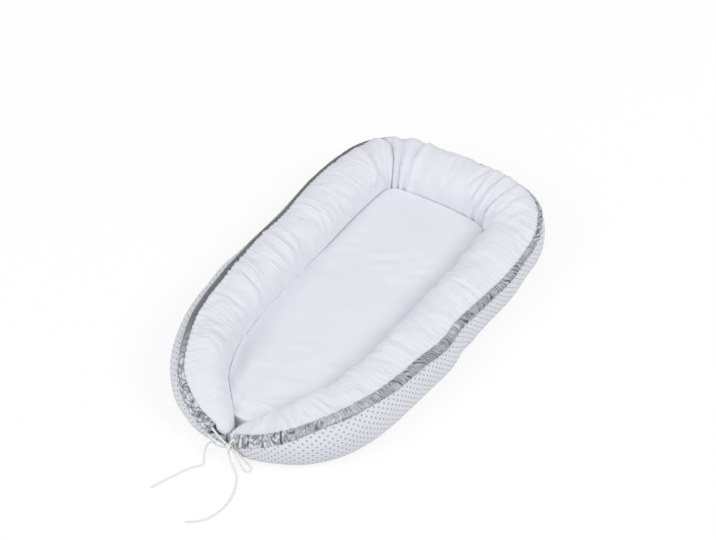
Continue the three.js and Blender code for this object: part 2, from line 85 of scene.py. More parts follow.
# Routes of the free cord at the foot, in millimetres
CORD_ROUTES = {
    "cord_run_left": (
        (-27.5, -439.3, 41.9), (-20, -442.6, 41.2), (-8, -447, 39), (4, -450, 36.8),
        (14.2, -451.5, 35.2),
    ),
    "cord_run_right": (
        (27.5, -439.3, 41.9), (23.6, -441.5, 41.6), (21.2, -444.2, 40.2), (20.6, -446.9, 38),
        (20.6, -448.9, 36),
    ),
    "bow_loop_left": (
        (13.4, -455.6, 33.2), (4, -457.5, 34.8), (-8, -458.5, 37.2), (-17, -456.8, 38.6),
        (-24.6, -453.6, 36.6), (-28.2, -451.2, 30.8), (-24.8, -451.4, 24.8), (-17, -454.2, 22.2),
        (-5, -456, 22.8), (5, -455.9, 25.2), (13.4, -455, 29.2),
    ),
    "bow_loop_right": (
        (29, -455.2, 33.6), (35.5, -453.6, 29.4), (43, -450.8, 20.5), (50.5, -448.8, 11.5),
        (57.5, -447.9, 5.2), (64.4, -448.6, 2.6), (70, -451.8, 2.2), (72, -456.6, 2.2),
        (69.4, -461.4, 2.2), (64, -463.4, 2.2), (58, -462, 2.8), (51.5, -459.2, 7.4),
        (44.5, -457, 14.5), (38, -456, 21.5), (33.5, -455.6, 26), (29, -455.4, 28.8),
    ),
    "cord_tail_left": (
        (13.4, -450.8, 29.6), (6, -449.5, 27), (-3, -448.2, 23), (-12, -448.2, 20),
        (-20, -451, 18.5), (-24.2, -457, 16.5), (-24, -465, 12.5), (-20.5, -474, 8),
        (-15, -483, 4.2), (-10.5, -490, 2.6), (-10.5, -497, 2.2), (-15.5, -503.5, 2.2),
        (-21.5, -511, 2.2), (-28.5, -524, 2.2), (-37, -544, 2.2), (-46, -567, 2.2),
        (-55, -591, 2.2),
    ),
    "cord_tail_right": (
        (21, -455.4, 26.6), (23.2, -458, 21.5), (28, -461.5, 15.5), (35, -466, 9.5),
        (44, -471, 4.8), (53, -477, 2.6), (62, -485.5, 2.2), (70, -499, 2.2), (77, -515, 2.2),
        (81.5, -532, 2.2), (83, -552, 2.2), (80.5, -573, 2.2), (75.5, -588, 2.2), (67.5, -600, 2.2),
        (57, -611, 2.2), (45, -620, 2.2),
    ),
}
KNOT_PLACE = (21, -453, 32)
MM = 0.001

# Metres: the lowest any cloth lies, the gap between two skins, and two thinner cloths
LOWEST = 0.0015
SKIN_GAP = 0.0003
TUNNEL_CLOTH = 0.0006
BASE_CLOTH = 0.0012
# The turn by which the lining and the cover run in under the tunnel's edges
EDGE_TUCK = math.radians(1.5)
# Rows of the outlines that the pad, the lying cloth and the base are drawn from
OUTLINE_ROWS = 521


def length_prop(name, description, default):
    return FloatProperty(
        name=name, description=description, default=default, min=0.0, unit="LENGTH"
    )


def angle_prop(name, description, default):
    return FloatProperty(name=name, description=description, default=default, subtype="ANGLE")


def colour_prop(name, description, default):
    return FloatVectorProperty(
        name=name, description=description, default=default,
        size=3, min=0.0, max=1.0, subtype="COLOR",
    )


class LoungerSizes(bpy.types.PropertyGroup):
    nest_length: length_prop("Nest length", "Foot to head, cords left out", 0.888)
    nest_width: length_prop("Nest width", "Across both arms", 0.512)
    roll_width: length_prop("Roll width", "Across the stuffed roll", 0.128)
    roll_height: length_prop("Roll height", "Floor to the roll's top", 0.105)
    tip_rounding: length_prop("Arm taper", "Length over which an arm comes down to its tip", 0.195)
    floor_height: length_prop("Floor height", "Where the roll meets the lying cloth", 0.048)
    tunnel_width: length_prop("Tunnel width", "Width of the gathered cord tunnel", 0.024)
    tunnel_mouth: length_prop("Tunnel mouth", "From an arm's tip to the tunnel's mouth", 0.019)
    tunnel_join: length_prop("Tunnel join", "From the right arm's tip to the strips' join", 0.098)
    cord_diameter: length_prop("Cord diameter", "Thickness of the drawcord", 0.0038)
    cloth: length_prop("Cloth thickness", "One cloth with its seam allowance", 0.0011)
    dot_spacing: length_prop("Dot spacing", "Side of the dots' square cell", 0.013)
    dot_diameter: length_prop("Dot diameter", "Width of one printed dot", 0.0035)


class LoungerColours(bpy.types.PropertyGroup):
    white: colour_prop("White cloth", "Lining and lying cloth", (0.80, 0.803, 0.85))
    cover: colour_prop("Cover ground", "Ground of the dotted cloth", (0.73, 0.733, 0.765))
    dot: colour_prop("Dots", "Printed dots", (0.35, 0.36, 0.45))
    band: colour_prop("Tunnel cloth", "Gathered grey cloth", (0.365, 0.38, 0.425))
    # Painted shade and painted highlight: the grey the tunnel cloth takes in its folds, and the
    # lighter grey it takes on its ridges
    band_shade_painted: colour_prop("Tunnel folds", "Grey cloth deep in its folds", (0.06, 0.062, 0.075))
    band_highlight_painted: colour_prop("Tunnel ridges", "Grey cloth in the light", (0.73, 0.745, 0.79))
    cord: colour_prop("Cord", "Braided cotton cord", (0.83, 0.83, 0.82))
    fibre: colour_prop("Filling", "Fibre filling", (0.85, 0.85, 0.83))


# Curves and noise

def spline(points, steps=40):
    """A centripetal Catmull-Rom curve through the points."""
    points = np.asarray(points, float)
    ends = [2 * points[0] - points[1], *points, 2 * points[-1] - points[-2]]
    u = np.linspace(0, 1, steps, endpoint=False)[:, None]
    parts = []
    for p0, p1, p2, p3 in zip(ends, ends[1:], ends[2:], ends[3:]):
        d0, d1, d2 = (np.linalg.norm(b - a) ** 0.5 for a, b in ((p0, p1), (p1, p2), (p2, p3)))
        t1 = ((p1 - p0) / d0 - (p2 - p0) / (d0 + d1) + (p2 - p1) / d1) * d1
        t2 = ((p2 - p1) / d1 - (p3 - p1) / (d1 + d2) + (p3 - p2) / d2) * d1
        square, cube = 3 * (p2 - p1) - 2 * t1 - t2, 2 * (p1 - p2) + t1 + t2
        parts.append(p1 + t1 * u + square * u**2 + cube * u**3)
    return np.vstack([*parts, points[-1:]])


def travelled(points):
    """Length along the points up to each of them."""
    return np.concatenate([[0.0], np.cumsum(np.linalg.norm(np.diff(points, axis=0), axis=1))])


def at_lengths(points, along, wanted):
    """The places at the wanted lengths along the points."""
    columns = [np.interp(wanted, along, points[:, k]) for k in range(points.shape[1])]
    return np.stack(columns, axis=-1)


def power(value, exponent):
    """A power that keeps the sign."""
    return np.sign(value) * np.abs(value) ** exponent


def noise1(x, seed):
    """Smooth noise from -1 to 1 along one coordinate."""
    table = np.random.RandomState(seed).uniform(-1, 1, 1024)
    cell = np.floor(x).astype(int)
    f = x - cell
    f = f * f * (3 - 2 * f)
    return table[cell % 1024] * (1 - f) + table[(cell + 1) % 1024] * f


def noise2(x, y, seed):
    """Smooth noise from -1 to 1 over two coordinates."""
    table = np.random.RandomState(seed).uniform(-1, 1, 4096)
    i, j = np.floor(x).astype(int), np.floor(y).astype(int)
    f, g = x - i, y - j
    f, g = f * f * (3 - 2 * f), g * g * (3 - 2 * g)

    def value(a, b):
        return table[(a * 61 + b * 397) % 4096]

    low = value(i, j) * (1 - f) + value(i + 1, j) * f
    high = value(i, j + 1) * (1 - f) + value(i + 1, j + 1) * f
    return low * (1 - g) + high * g


def ease(low, high, x):
    """0 up to low, 1 from high on, and a smooth step between."""
    t = np.clip((x - low) / (high - low), 0, 1)
    return t * t * (3 - 2 * t)


def between(x, span, size=1.0):
    """The size inside a span, 0 outside it, with a smooth step at either end."""
    return size * ease(span[0], span[1], x) * (1 - ease(span[2], span[3], x))


def hill(x, width, sharpness=2):
    """1 at 0, falling to nothing a few widths away."""
    return np.exp(-((x / width) ** sharpness))


# The roll

class Roll:
    """The roll's centre line and section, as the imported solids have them."""

    squareness = 2.5
    settle = 0.005
    head_radius = 0.104
    corner_inset = (0.002, 0.004)
    tip_half = 0.00275
    tip_height = 0.031
    mouth_lead = 0.007
    cover_edge = math.radians(-66)
    lining_edge = math.radians(236)
    lump_height, lump_length = 0.0012, 0.11
    # The groove that the tunnel lies in: depth, spread as a turn, and where it is deeper
    groove_depth, groove_spread = 0.003, 0.3
    deeper_grooves = (((1.2, 1.26, 1.82, 1.94), 0.0015), ((1.2, 1.27, 1.5, 1.62), 0.0018))
    # The lying cloth's edge: highest share of the roll's height, and the dip beside the left arm
    floor_share, dip_depth, dip_span = 0.6, 0.009, (1.42, 1.64, 1.86, 1.98)
    head_span, tip_calm = (0.80, 0.92, 1.14, 1.24), (0.012, 0.07)
    # The tunnel's mouths: width of the closed seam, and of the slit in the left one
    seam_width, slit_width = 0.0004, 0.009

    def __init__(self, sizes):
        self.sizes = sizes
        half_x = (sizes.nest_width - sizes.roll_width) / 2
        half_y = (sizes.nest_length - sizes.roll_width) / 2
        corner_x = half_x - self.corner_inset[0] - self.head_radius
        corner_y = half_y - self.corner_inset[1] - self.head_radius
        turns = np.linspace(0, math.pi / 2, 5)
        right = [(x * half_x, y * half_y) for x, y in LINE_SHARES]
        right += [
            (corner_x + self.head_radius * math.cos(t), corner_y + self.head_radius * math.sin(t))
            for t in turns
        ]
        left = [(-x, y) for x, y in reversed(right)]
        self.line = spline([*right, (0, half_y), *left], 120)
        self.along = travelled(self.line)
        in_mm = (1000, 1, 1, 1, 1, 1, 1)
        in_metres = (MM, MM, MM, MM, MM, math.pi / 180, 1)
        self.shape = spline(np.array(ROLL_SHAPE, float) * in_mm, 30) * in_metres
        self.length = self.along[-1]
        self.mirror = self.length / 2
        self.mouths = (sizes.tunnel_mouth - self.mouth_lead, sizes.tunnel_mouth)
        self.line = self.line + self.outward(self.along) * self.strayed(self.along, 1)[:, None]

    def strayed(self, s, column):
        """A column of ROLL_SHAPE at places along the roll."""
        return np.interp(s, self.shape[:, 0], self.shape[:, column])

    def place(self, s):
        """The centre line's places in plan."""
        return at_lengths(self.line, self.along, s)

    def outward(self, s, step=0.0015):
        """The direction away from the nest's middle, level and square to the line."""
        ahead = self.place(np.clip(s + step, 0, self.length))
        along = ahead - self.place(np.clip(s - step, 0, self.length))
        along /= np.linalg.norm(along, axis=-1, keepdims=True)
        return np.stack([along[..., 1], -along[..., 0]], axis=-1)

    def halves(self, s):
        """Half width and half height of the section at places along the roll."""
        from_tip = np.clip(np.minimum(s, self.length - s) / self.sizes.tip_rounding, 0, 1)
        rounding = np.sqrt(1 - (1 - from_tip) ** 2)
        lumps = self.lump_height * noise1(s / self.lump_length, 17) * rounding
        width = np.maximum(self.tip_half, self.sizes.roll_width / 2 * rounding + lumps)
        height = self.tip_height + (self.sizes.roll_height - self.tip_height) * rounding**2
        return width, (height + self.settle + self.strayed(s, 4) * rounding) / 2 + 0.6 * lumps

    def point(self, s, turn, lift=0.0):
        """Points of the section: turn 0 is the roll's outer side, a quarter turn its top."""
        s = np.asarray(s, float)[:, None]
        turn, lift = np.broadcast_arrays(np.atleast_2d(turn), lift)
        width, height = self.halves(s)
        tunnel = self.tunnel_turn(s)
        groove = self.groove_depth
        for span, depth in self.deeper_grooves:
            groove = groove + between(s, span, depth)
        lift = lift - groove * hill(turn - tunnel, self.groove_spread)
        side = np.where(np.cos(turn) > 0, self.strayed(s, 2), self.strayed(s, 3))
        out = (width + lift + side) * power(np.cos(turn), 2 / self.squareness)
        rise = (height + lift) * power(np.sin(turn), 2 / self.squareness)
        z = np.maximum(height - self.settle + rise, LOWEST)
        place, outward = self.place(s[:, 0]), self.outward(s[:, 0])
        xy = place[:, None, :] + outward[:, None, :] * out[..., None]
        return np.concatenate([xy, z[..., None]], axis=-1)

    def dip(self, s):
        """1 where the lying cloth sinks beside the left arm, toward the foot, else 0."""
        return between(s, self.dip_span)

    def off_tips(self, s):
        """0 on the last centimetre of both arms, 1 a little further on."""
        start, full = self.tip_calm
        return ease(start, full, s) * ease(start, full, self.length - s)

    def floor_turn(self, s):
        """Where the roll's inner side meets the lying cloth."""
        height = self.halves(s)[1]
        highest = self.floor_share * (2 * height - self.settle)
        level = np.minimum(self.sizes.floor_height, highest) - self.dip_depth * self.dip(s)
        below = np.clip((height - self.settle - level) / height, -1, 1)
        return math.pi + np.arcsin(power(below, self.squareness / 2))

    def over_head(self, s):
        """1 round the head, where the lining puffs over the tunnel, else 0."""
        return between(s, self.head_span)

    def tunnel_turn(self, s):
        """The turn at which the tunnel's middle lies."""
        return self.strayed(s, 5)

    def tunnel_half_turn(self, s):
        """Half the turn that the tunnel takes up, which closes at its mouths."""
        small = math.radians(1)
        middle = self.tunnel_turn(s)[:, None]
        pair = self.point(s, middle + [[-small, small]])
        arc = np.linalg.norm(pair[:, 1] - pair[:, 0], axis=-1)
        from_mouth = np.minimum(s / self.mouths[0], (self.length - s) / self.mouths[1])
        full = self.sizes.tunnel_width * self.strayed(s, 6)
        on_left = s > self.mirror
        slit = self.seam_width + self.slit_width * ease(0.0, 0.5, from_mouth) * on_left
        width = slit + (full - slit) * ease(0.72, 0.98, from_mouth)
        return width * small / arc

    def strip(self, s, low, high, count, lift=0.0):
        """Evenly spaced points across the roll's surface from turn low to turn high."""
        fine = np.linspace(0, 1, 161)
        turns = low[:, None] + (high - low)[:, None] * fine
        dense = self.point(s, turns, lift)
        steps = np.linalg.norm(np.diff(dense, axis=1), axis=-1)
        across = np.concatenate([np.zeros((len(s), 1)), np.cumsum(steps, axis=1)], axis=1)
        wanted = across[:, -1:] * np.linspace(0, 1, count)
        points = np.stack([at_lengths(dense[i], across[i], wanted[i]) for i in range(len(s))])
        return points, wanted


def grid_normals(points):
    """Unit normals of a grid of points, away from the roll's inside."""
    normal = np.cross(np.gradient(points, axis=0), np.gradient(points, axis=1))
    normal /= np.linalg.norm(normal, axis=-1, keepdims=True) + 1e-12
    return normal


def refined(grid):
    """The grid with a new row and column between every two, smoothed as a subdivision does."""
    for axis in (0, 1):
        g = np.moveaxis(grid, axis, 0)
        fine = np.empty((2 * len(g) - 1, *g.shape[1:]))
        fine[1::2] = (g[1:] + g[:-1]) / 2
        fine[0], fine[-1] = g[0], g[-1]
        fine[2:-1:2] = (g[:-2] + 6 * g[1:-1] + g[2:]) / 8
        grid = np.moveaxis(fine, 0, axis)
    return grid


def resampled(grid, axis, finer, stride):
    """The grid made that much finer along one axis, of which every stride-th row is kept."""
    g = np.moveaxis(grid, axis, 0)
    fine = spline(g.reshape(len(g), -1), finer)[::stride]
    return np.moveaxis(fine.reshape(-1, *g.shape[1:]), 0, axis)


# Meshes

def only(obj):
    """The object, selected alone."""
    bpy.ops.object.select_all(action="DESELECT")
    obj.select_set(True)
    bpy.context.view_layer.objects.active = obj
    return obj


def mesh_object(name, verts, faces, material, uvs=None):
    mesh = bpy.data.meshes.new(name)
    mesh.from_pydata([tuple(v) for v in verts], [], [tuple(f) for f in faces])
    mesh.materials.append(material)
    mesh.polygons.foreach_set("use_smooth", [True] * len(mesh.polygons))
    if uvs is not None:
        layer = mesh.uv_layers.new(name="UVMap")
        corner = np.empty(len(mesh.loops), int)
        mesh.loops.foreach_get("vertex_index", corner)
        layer.data.foreach_set("uv", np.asarray(uvs)[corner].ravel())
    mesh.update()
    obj = bpy.data.objects.new(name, mesh)
    bpy.context.scene.collection.objects.link(obj)
    return obj


def grid_faces(rows, cols, closed=False, flip=False):
    """Quads between the rows of a grid, whose last column may join the first."""
    i = np.arange(rows - 1)[:, None]
    j = np.arange(cols if closed else cols - 1)[None, :]
    a, b = i * cols + j, i * cols + (j + 1) % cols
    quads = np.stack([a, b, b + cols, a + cols], axis=-1).reshape(-1, 4)
    return quads[:, ::-1] if flip else quads


def grid_object(name, points, material, uv=None, closed=False, flip=False):
    rows, cols = points.shape[:2]
    uvs = None if uv is None else uv.reshape(-1, 2)
    faces = grid_faces(rows, cols, closed, flip)
    return mesh_object(name, points.reshape(-1, 3), faces, material, uvs)


def apply_modifiers(obj):
    only(obj)
    for modifier in list(obj.modifiers):
        bpy.ops.object.modifier_apply(modifier=modifier.name)
    return obj


def thicken(obj, thickness):
    """The sheet given a thickness inward from its outer side."""
    wall = obj.modifiers.new("Cloth thickness", "SOLIDIFY")
    wall.thickness, wall.offset = thickness, -1.0
    return apply_modifiers(obj)


def float_attribute(obj, name, values):
    attribute = obj.data.attributes.new(name, "FLOAT", "POINT")
    attribute.data.foreach_set("value", np.asarray(values, np.float32).ravel())


# Materials

def material(name, colour, roughness, sheen):
    made = bpy.data.materials.new(name)
    made.use_nodes = True
    shader = made.node_tree.nodes["Principled BSDF"]
    shader.inputs["Base Color"].default_value = (*colour, 1)
    shader.inputs["Roughness"].default_value = roughness
    shader.inputs["Specular IOR Level"].default_value = 0.25
    shader.inputs["Sheen Weight"].default_value = sheen
    shader.inputs["Sheen Roughness"].default_value = 0.6
    return made, made.node_tree, shader


def add_node(tree, kind, inputs=None, **settings):
    """A node with its settings made and each input linked or set."""
    node = tree.nodes.new(kind)
    for key, value in settings.items():
        setattr(node, key, value)
    for key, value in (inputs or {}).items():
        if isinstance(value, bpy.types.NodeSocket):
            tree.links.new(value, node.inputs[key])
        else:
            node.inputs[key].default_value = value
    return node


def maths(tree, operation, a, b=0.0, clamp=False):
    node = add_node(tree, "ShaderNodeMath", {0: a, 1: b}, operation=operation, use_clamp=clamp)
    return node.outputs[0]


def vector_maths(tree, operation, *values):
    node = add_node(tree, "ShaderNodeVectorMath", dict(enumerate(values)), operation=operation)
    return node.outputs[1 if operation == "LENGTH" else 0]


def map_range(tree, value, source, target, **settings):
    inputs = dict(enumerate((value, *source, *target)))
    return add_node(tree, "ShaderNodeMapRange", inputs, **settings).outputs[0]


def mix_colour(tree, factor, a, b):
    a, b = (c if isinstance(c, bpy.types.NodeSocket) else (*c, 1) for c in (a, b))
    node = add_node(tree, "ShaderNodeMix", {0: factor, 6: a, 7: b}, data_type="RGBA")
    return node.outputs[2]


def noise_texture(tree, vector, scale, detail, **more):
    inputs = {"Vector": vector, "Scale": scale, "Detail": detail, **more}
    return add_node(tree, "ShaderNodeTexNoise", inputs).outputs[0]


def stretched_noise(tree, uv, along, across, detail):
    """Noise with a scale of its own in either direction of the cloth."""
    return noise_texture(tree, vector_maths(tree, "MULTIPLY", uv, (along, across, 0)), 1.0, detail)


def raise_bumps(tree, shader, strength, distance, height):
    """Bumps laid over those that the shader has already."""
    inputs = {"Strength": strength, "Distance": distance, "Height": height}
    under = shader.inputs["Normal"].links
    if under:
        inputs["Normal"] = under[0].from_socket
    bumps = add_node(tree, "ShaderNodeBump", inputs)
    tree.links.new(bumps.outputs[0], shader.inputs["Normal"])


def weave_height(tree, uv, pitch):
    """Height of a plain weave: warp and weft threads that pass over each other in turn."""
    parts = add_node(tree, "ShaderNodeSeparateXYZ", {0: uv})
    x = maths(tree, "MULTIPLY", parts.outputs[0], math.pi / pitch)
    y = maths(tree, "MULTIPLY", parts.outputs[1], math.pi / pitch)
    return maths(tree, "MULTIPLY", maths(tree, "SINE", x), maths(tree, "SINE", y))


def object_coords(tree):
    return add_node(tree, "ShaderNodeTexCoord").outputs["Object"]


def cloth_surface(tree, shader, crinkle=0.35, pitch=0.0007):
    """Weave and small creases on the shader; returns the cloth's and the object's coordinates."""
    uv = add_node(tree, "ShaderNodeUVMap", uv_map="UVMap").outputs[0]
    coords = object_coords(tree)
    creases = noise_texture(tree, coords, 95.0, 4.0, Roughness=0.6)
    raise_bumps(tree, shader, 0.25, 0.0002, weave_height(tree, uv, pitch))
    raise_bumps(tree, shader, crinkle, 0.0016, creases)
    return uv, coords


def shade_variation(tree, coords, colour, darker=0.965):
    """The colour, a little darker in broad patches."""
    patches = noise_texture(tree, coords, 9.0, 2.0)
    return mix_colour(tree, patches, tuple(c * darker for c in colour), colour)


def paint(tree, shader, colour):
    tree.links.new(colour, shader.inputs["Base Color"])


def white_cloth(colours):
    made, tree, shader = material("White cotton", colours.white, 0.88, 0.15)
    _, coords = cloth_surface(tree, shader)
    paint(tree, shader, shade_variation(tree, coords, colours.white))
    return made


def gathered_cloth(colours):
    """White cotton with fine gathers that run across the roll, closest beside the cord tunnel."""
    made, tree, shader = material("White gathered cotton", colours.white, 0.88, 0.15)
    uv, coords = cloth_surface(tree, shader, crinkle=0.3)
    lines = stretched_noise(tree, uv, 230, 15, 2.0)
    patches = stretched_noise(tree, uv, 9, 7, 1.0)
    across = add_node(tree, "ShaderNodeSeparateXYZ", {0: uv}).outputs[1]
    beside = map_range(tree, across, (0.0, 0.05), (0.7, 0.0))
    seen = map_range(tree, patches, (0.48, 0.62), (0.12, 0.9))
    shown = maths(tree, "ADD", seen, beside, clamp=True)
    raise_bumps(tree, shader, 0.55, 0.0022, maths(tree, "MULTIPLY", lines, shown))
    paint(tree, shader, shade_variation(tree, coords, colours.white))
    return made


def dotted_cloth(colours, sizes):
    """White cotton printed with dots on the corners of a square cell and in its middle."""
    made, tree, shader = material("Dotted cotton", colours.cover, 0.88, 0.15)
    uv, coords = cloth_surface(tree, shader)
    scale = (1 / sizes.dot_spacing,) * 3
    masks = []
    for shift in (0.0, 0.5):
        cell = vector_maths(tree, "MULTIPLY_ADD", uv, scale, (shift, shift, 0))
        local = vector_maths(tree, "FRACTION", cell)
        centred = vector_maths(tree, "SUBTRACT", local, (0.5, 0.5, 0))
        flat = vector_maths(tree, "MULTIPLY", centred, (1, 1, 0))
        masks.append(vector_maths(tree, "LENGTH", flat))
    nearest = maths(tree, "MINIMUM", *masks)
    radius = sizes.dot_diameter / 2 / sizes.dot_spacing
    soft_edge = (radius * 1.15, radius * 0.85)
    dot = map_range(tree, nearest, soft_edge, (0.0, 1.0), interpolation_type="SMOOTHSTEP")
    ground = shade_variation(tree, coords, colours.cover)
    paint(tree, shader, mix_colour(tree, dot, ground, colours.dot))
    return made


def band_cloth(colours):
    """Grey cotton with painted shade in its folds and painted highlights on its ridges, as the
    tunnel's attributes say.
    """
    made, tree, shader = material("Grey gathered cotton", colours.band, 0.36, 0.3)
    shader.inputs["Specular IOR Level"].default_value = 0.55
    cloth_surface(tree, shader, crinkle=0.25)
    # The fold_depth attribute carries painted shade and the next one painted highlights, both mixed
    # into the base colour
    depth = add_node(tree, "ShaderNodeAttribute", attribute_name="fold_depth").outputs["Fac"]
    light = add_node(tree, "ShaderNodeAttribute", attribute_name="ridge_highlight_painted").outputs["Fac"]
    ridges = mix_colour(tree, light, colours.band, colours.band_highlight_painted)
    paint(tree, shader, mix_colour(tree, depth, ridges, colours.band_shade_painted))
    return made


def fuzzy(name, colour, roughness, sheen, darker, noise, bumps):
    """A finish with fuzz: scale and detail of its noise, strength and height of its bumps."""
    made, tree, shader = material(name, colour, roughness, sheen)
    coords = object_coords(tree)
    raise_bumps(tree, shader, *bumps, noise_texture(tree, coords, *noise))
    paint(tree, shader, shade_variation(tree, coords, colour, darker))
    return made


def cord_cotton(colours):
    return fuzzy("Braided cord", colours.cord, 0.8, 0.2, 0.93, (900.0, 2.0), (0.3, 0.0003))


def fibre_stuffing(colours):
    return fuzzy("Fibre filling", colours.fibre, 0.95, 0.3, 0.9, (140.0, 6.0), (0.8, 0.003))


def finish_named(name):
    """The finish of that name, made once."""
    scene = bpy.context.scene
    colours, sizes = scene.lounger_colours, scene.lounger_sizes
    makers = {
        "White cotton": lambda: white_cloth(colours),
        "White gathered cotton": lambda: gathered_cloth(colours),
        "Dotted cotton": lambda: dotted_cloth(colours, sizes),
        "Grey gathered cotton": lambda: band_cloth(colours),
        "Braided cord": lambda: cord_cotton(colours),
        "Fibre filling": lambda: fibre_stuffing(colours),
    }
    return bpy.data.materials.get(name) or makers[name]()


def settled(obj, slot, *nodes):
    """The piece rides on the part and stands for its solids."""
    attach(obj, "root")
    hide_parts(*nodes)
    return obj


# Cords

def capped_faces(rows, cols):
    """Faces of a tube of rings whose two hubs come after the rings' own points."""
    faces = [tuple(f) for f in grid_faces(rows, cols, closed=True)]
    last, hubs = (rows - 1) * cols, rows * cols
    for j in range(cols):
        k = (j + 1) % cols
        faces += [(hubs, k, j), (hubs + 1, last + j, last + k)]
    return faces


def tube(name, route, radius, finish, sides=12, step=0.0012, braid_pitch=0.0016):
    """A braided cord along a route in metres, with rounded ends."""
    curve = spline(route, 60)
    along = travelled(curve)
    count = max(int(along[-1] / step), 8)
    wanted = np.linspace(0, along[-1], count + 1)
    centres = at_lengths(curve, along, wanted)
    tangents = np.gradient(centres, axis=0)
    tangents /= np.linalg.norm(tangents, axis=1, keepdims=True)
    normal = np.cross(tangents[0], (0.3, 0.2, 0.93))
    rows, uvs = [], []
    for centre, tangent, reach in zip(centres, tangents, wanted):
        normal = normal - tangent * normal.dot(tangent)
        normal /= np.linalg.norm(normal)
        side = np.cross(tangent, normal)
        turn = np.arange(sides) * 2 * math.pi / sides
        on = reach / braid_pitch
        braid = np.abs(np.sin(2 * turn + on)) + np.abs(np.sin(2 * turn - on))
        end = min(reach, along[-1] - reach) / radius
        cap = math.sqrt(max(1 - max(1 - end, 0) ** 2, 0.02))
        ring = radius * cap * (0.94 + 0.05 * braid)
        around = np.cos(turn)[:, None] * normal + np.sin(turn)[:, None] * side
        rows.append(centre + ring[:, None] * around)
        uvs.append(np.stack([turn * radius, np.full(sides, reach)], axis=-1))
    verts = [*np.vstack(rows), centres[0], centres[-1]]
    all_uv = np.vstack([*uvs, [[0, 0], [0, wanted[-1]]]])
    return mesh_object(name, verts, capped_faces(len(rows), sides), finish, all_uv), centres


class NestOperator:
    """What the operators that build pieces share"""
    bl_options = {"REGISTER", "UNDO"}

    @property
    def sizes(self):
        return bpy.context.scene.lounger_sizes

    @property
    def roll(self):
        return Roll(self.sizes)


class LOUNGER_OT_camera(bpy.types.Operator):
    """Set up the camera that looks at the lounger from its foot"""
    bl_idname = "lounger.camera"
    bl_label = "Camera"

    azimuth: angle_prop("Azimuth", "Round the object", 0.58931)
    elevation: angle_prop("Elevation", "Above the floor", 0.77146)
    tilt: angle_prop("Roll", "Turn about the view", 0.00629)
    distance: length_prop("Distance", "To the target", 3.84976)
    focal: FloatProperty(name="Focal length", description="In millimetres", default=96.997)
    target: FloatVectorProperty(
        name="Target", description="Point looked at",
        default=(-0.02793, 0.04444, 0.06), unit="LENGTH",
    )

    def execute(self, context):
        a, e = self.azimuth, self.elevation
        back = Vector((math.sin(a) * math.cos(e), -math.cos(a) * math.cos(e), math.sin(e)))
        right = Vector((math.cos(a), math.sin(a), 0))
        up = back.cross(right)
        turned = right * math.cos(self.tilt) + up * math.sin(self.tilt)
        upright = back.cross(turned)
        data = bpy.data.cameras.new("View camera")
        data.sensor_width, data.lens = 36.0, self.focal
        data.clip_start, data.clip_end = 0.1, 50.0
        camera = bpy.data.objects.new("View camera", data)
        context.scene.collection.objects.link(camera)
        camera.matrix_world = Matrix((
            (turned.x, upright.x, back.x, self.target[0] + back.x * self.distance),
            (turned.y, upright.y, back.y, self.target[1] + back.y * self.distance),
            (turned.z, upright.z, back.z, self.target[2] + back.z * self.distance),
            (0, 0, 0, 1),
        ))
        context.scene.camera = camera
        return {"FINISHED"}


class LOUNGER_OT_bow(NestOperator, bpy.types.Operator):
    """Tie the drawcord's free ends in a bow at the foot"""
    bl_idname = "lounger.bow"
    bl_label = "Bow"

    knot_turns, knot_start = 3, 0.6
    knot_radius, knot_width = 0.0054, 0.0092

    def execute(self, context):
        finish = finish_named("Braided cord")
        radius = self.sizes.cord_diameter / 2
        knot = self.knot(finish, radius)
        made = {}
        for name, places in CORD_ROUTES.items():
            cord, centres = tube(name + "_braid", np.array(places) * MM, radius, finish)
            made[name] = (settled(cord, "white_cord", name), centres)
        for name, (cord, centres) in made.items():
            if name == "cord_run_right":
                continue
        return {"FINISHED"}

    def knot(self, finish, radius):
        """The cord's turns, side by side round the crossing."""
        turns = np.linspace(0, 1, 90)
        angle = turns * self.knot_turns * 2 * math.pi + self.knot_start
        wrap = self.knot_radius - radius + 0.0002
        reach = (turns - 0.5) * self.knot_width
        route = np.stack([
            KNOT_PLACE[0] * MM + reach,
            KNOT_PLACE[1] * MM + wrap * np.cos(angle),
            KNOT_PLACE[2] * MM + wrap * np.sin(angle),
        ], axis=-1)
        knot, _ = tube("bow_knot_wraps", route, radius * 0.98, finish, step=0.0008)
        return settled(knot, "white_cord", "bow_knot")


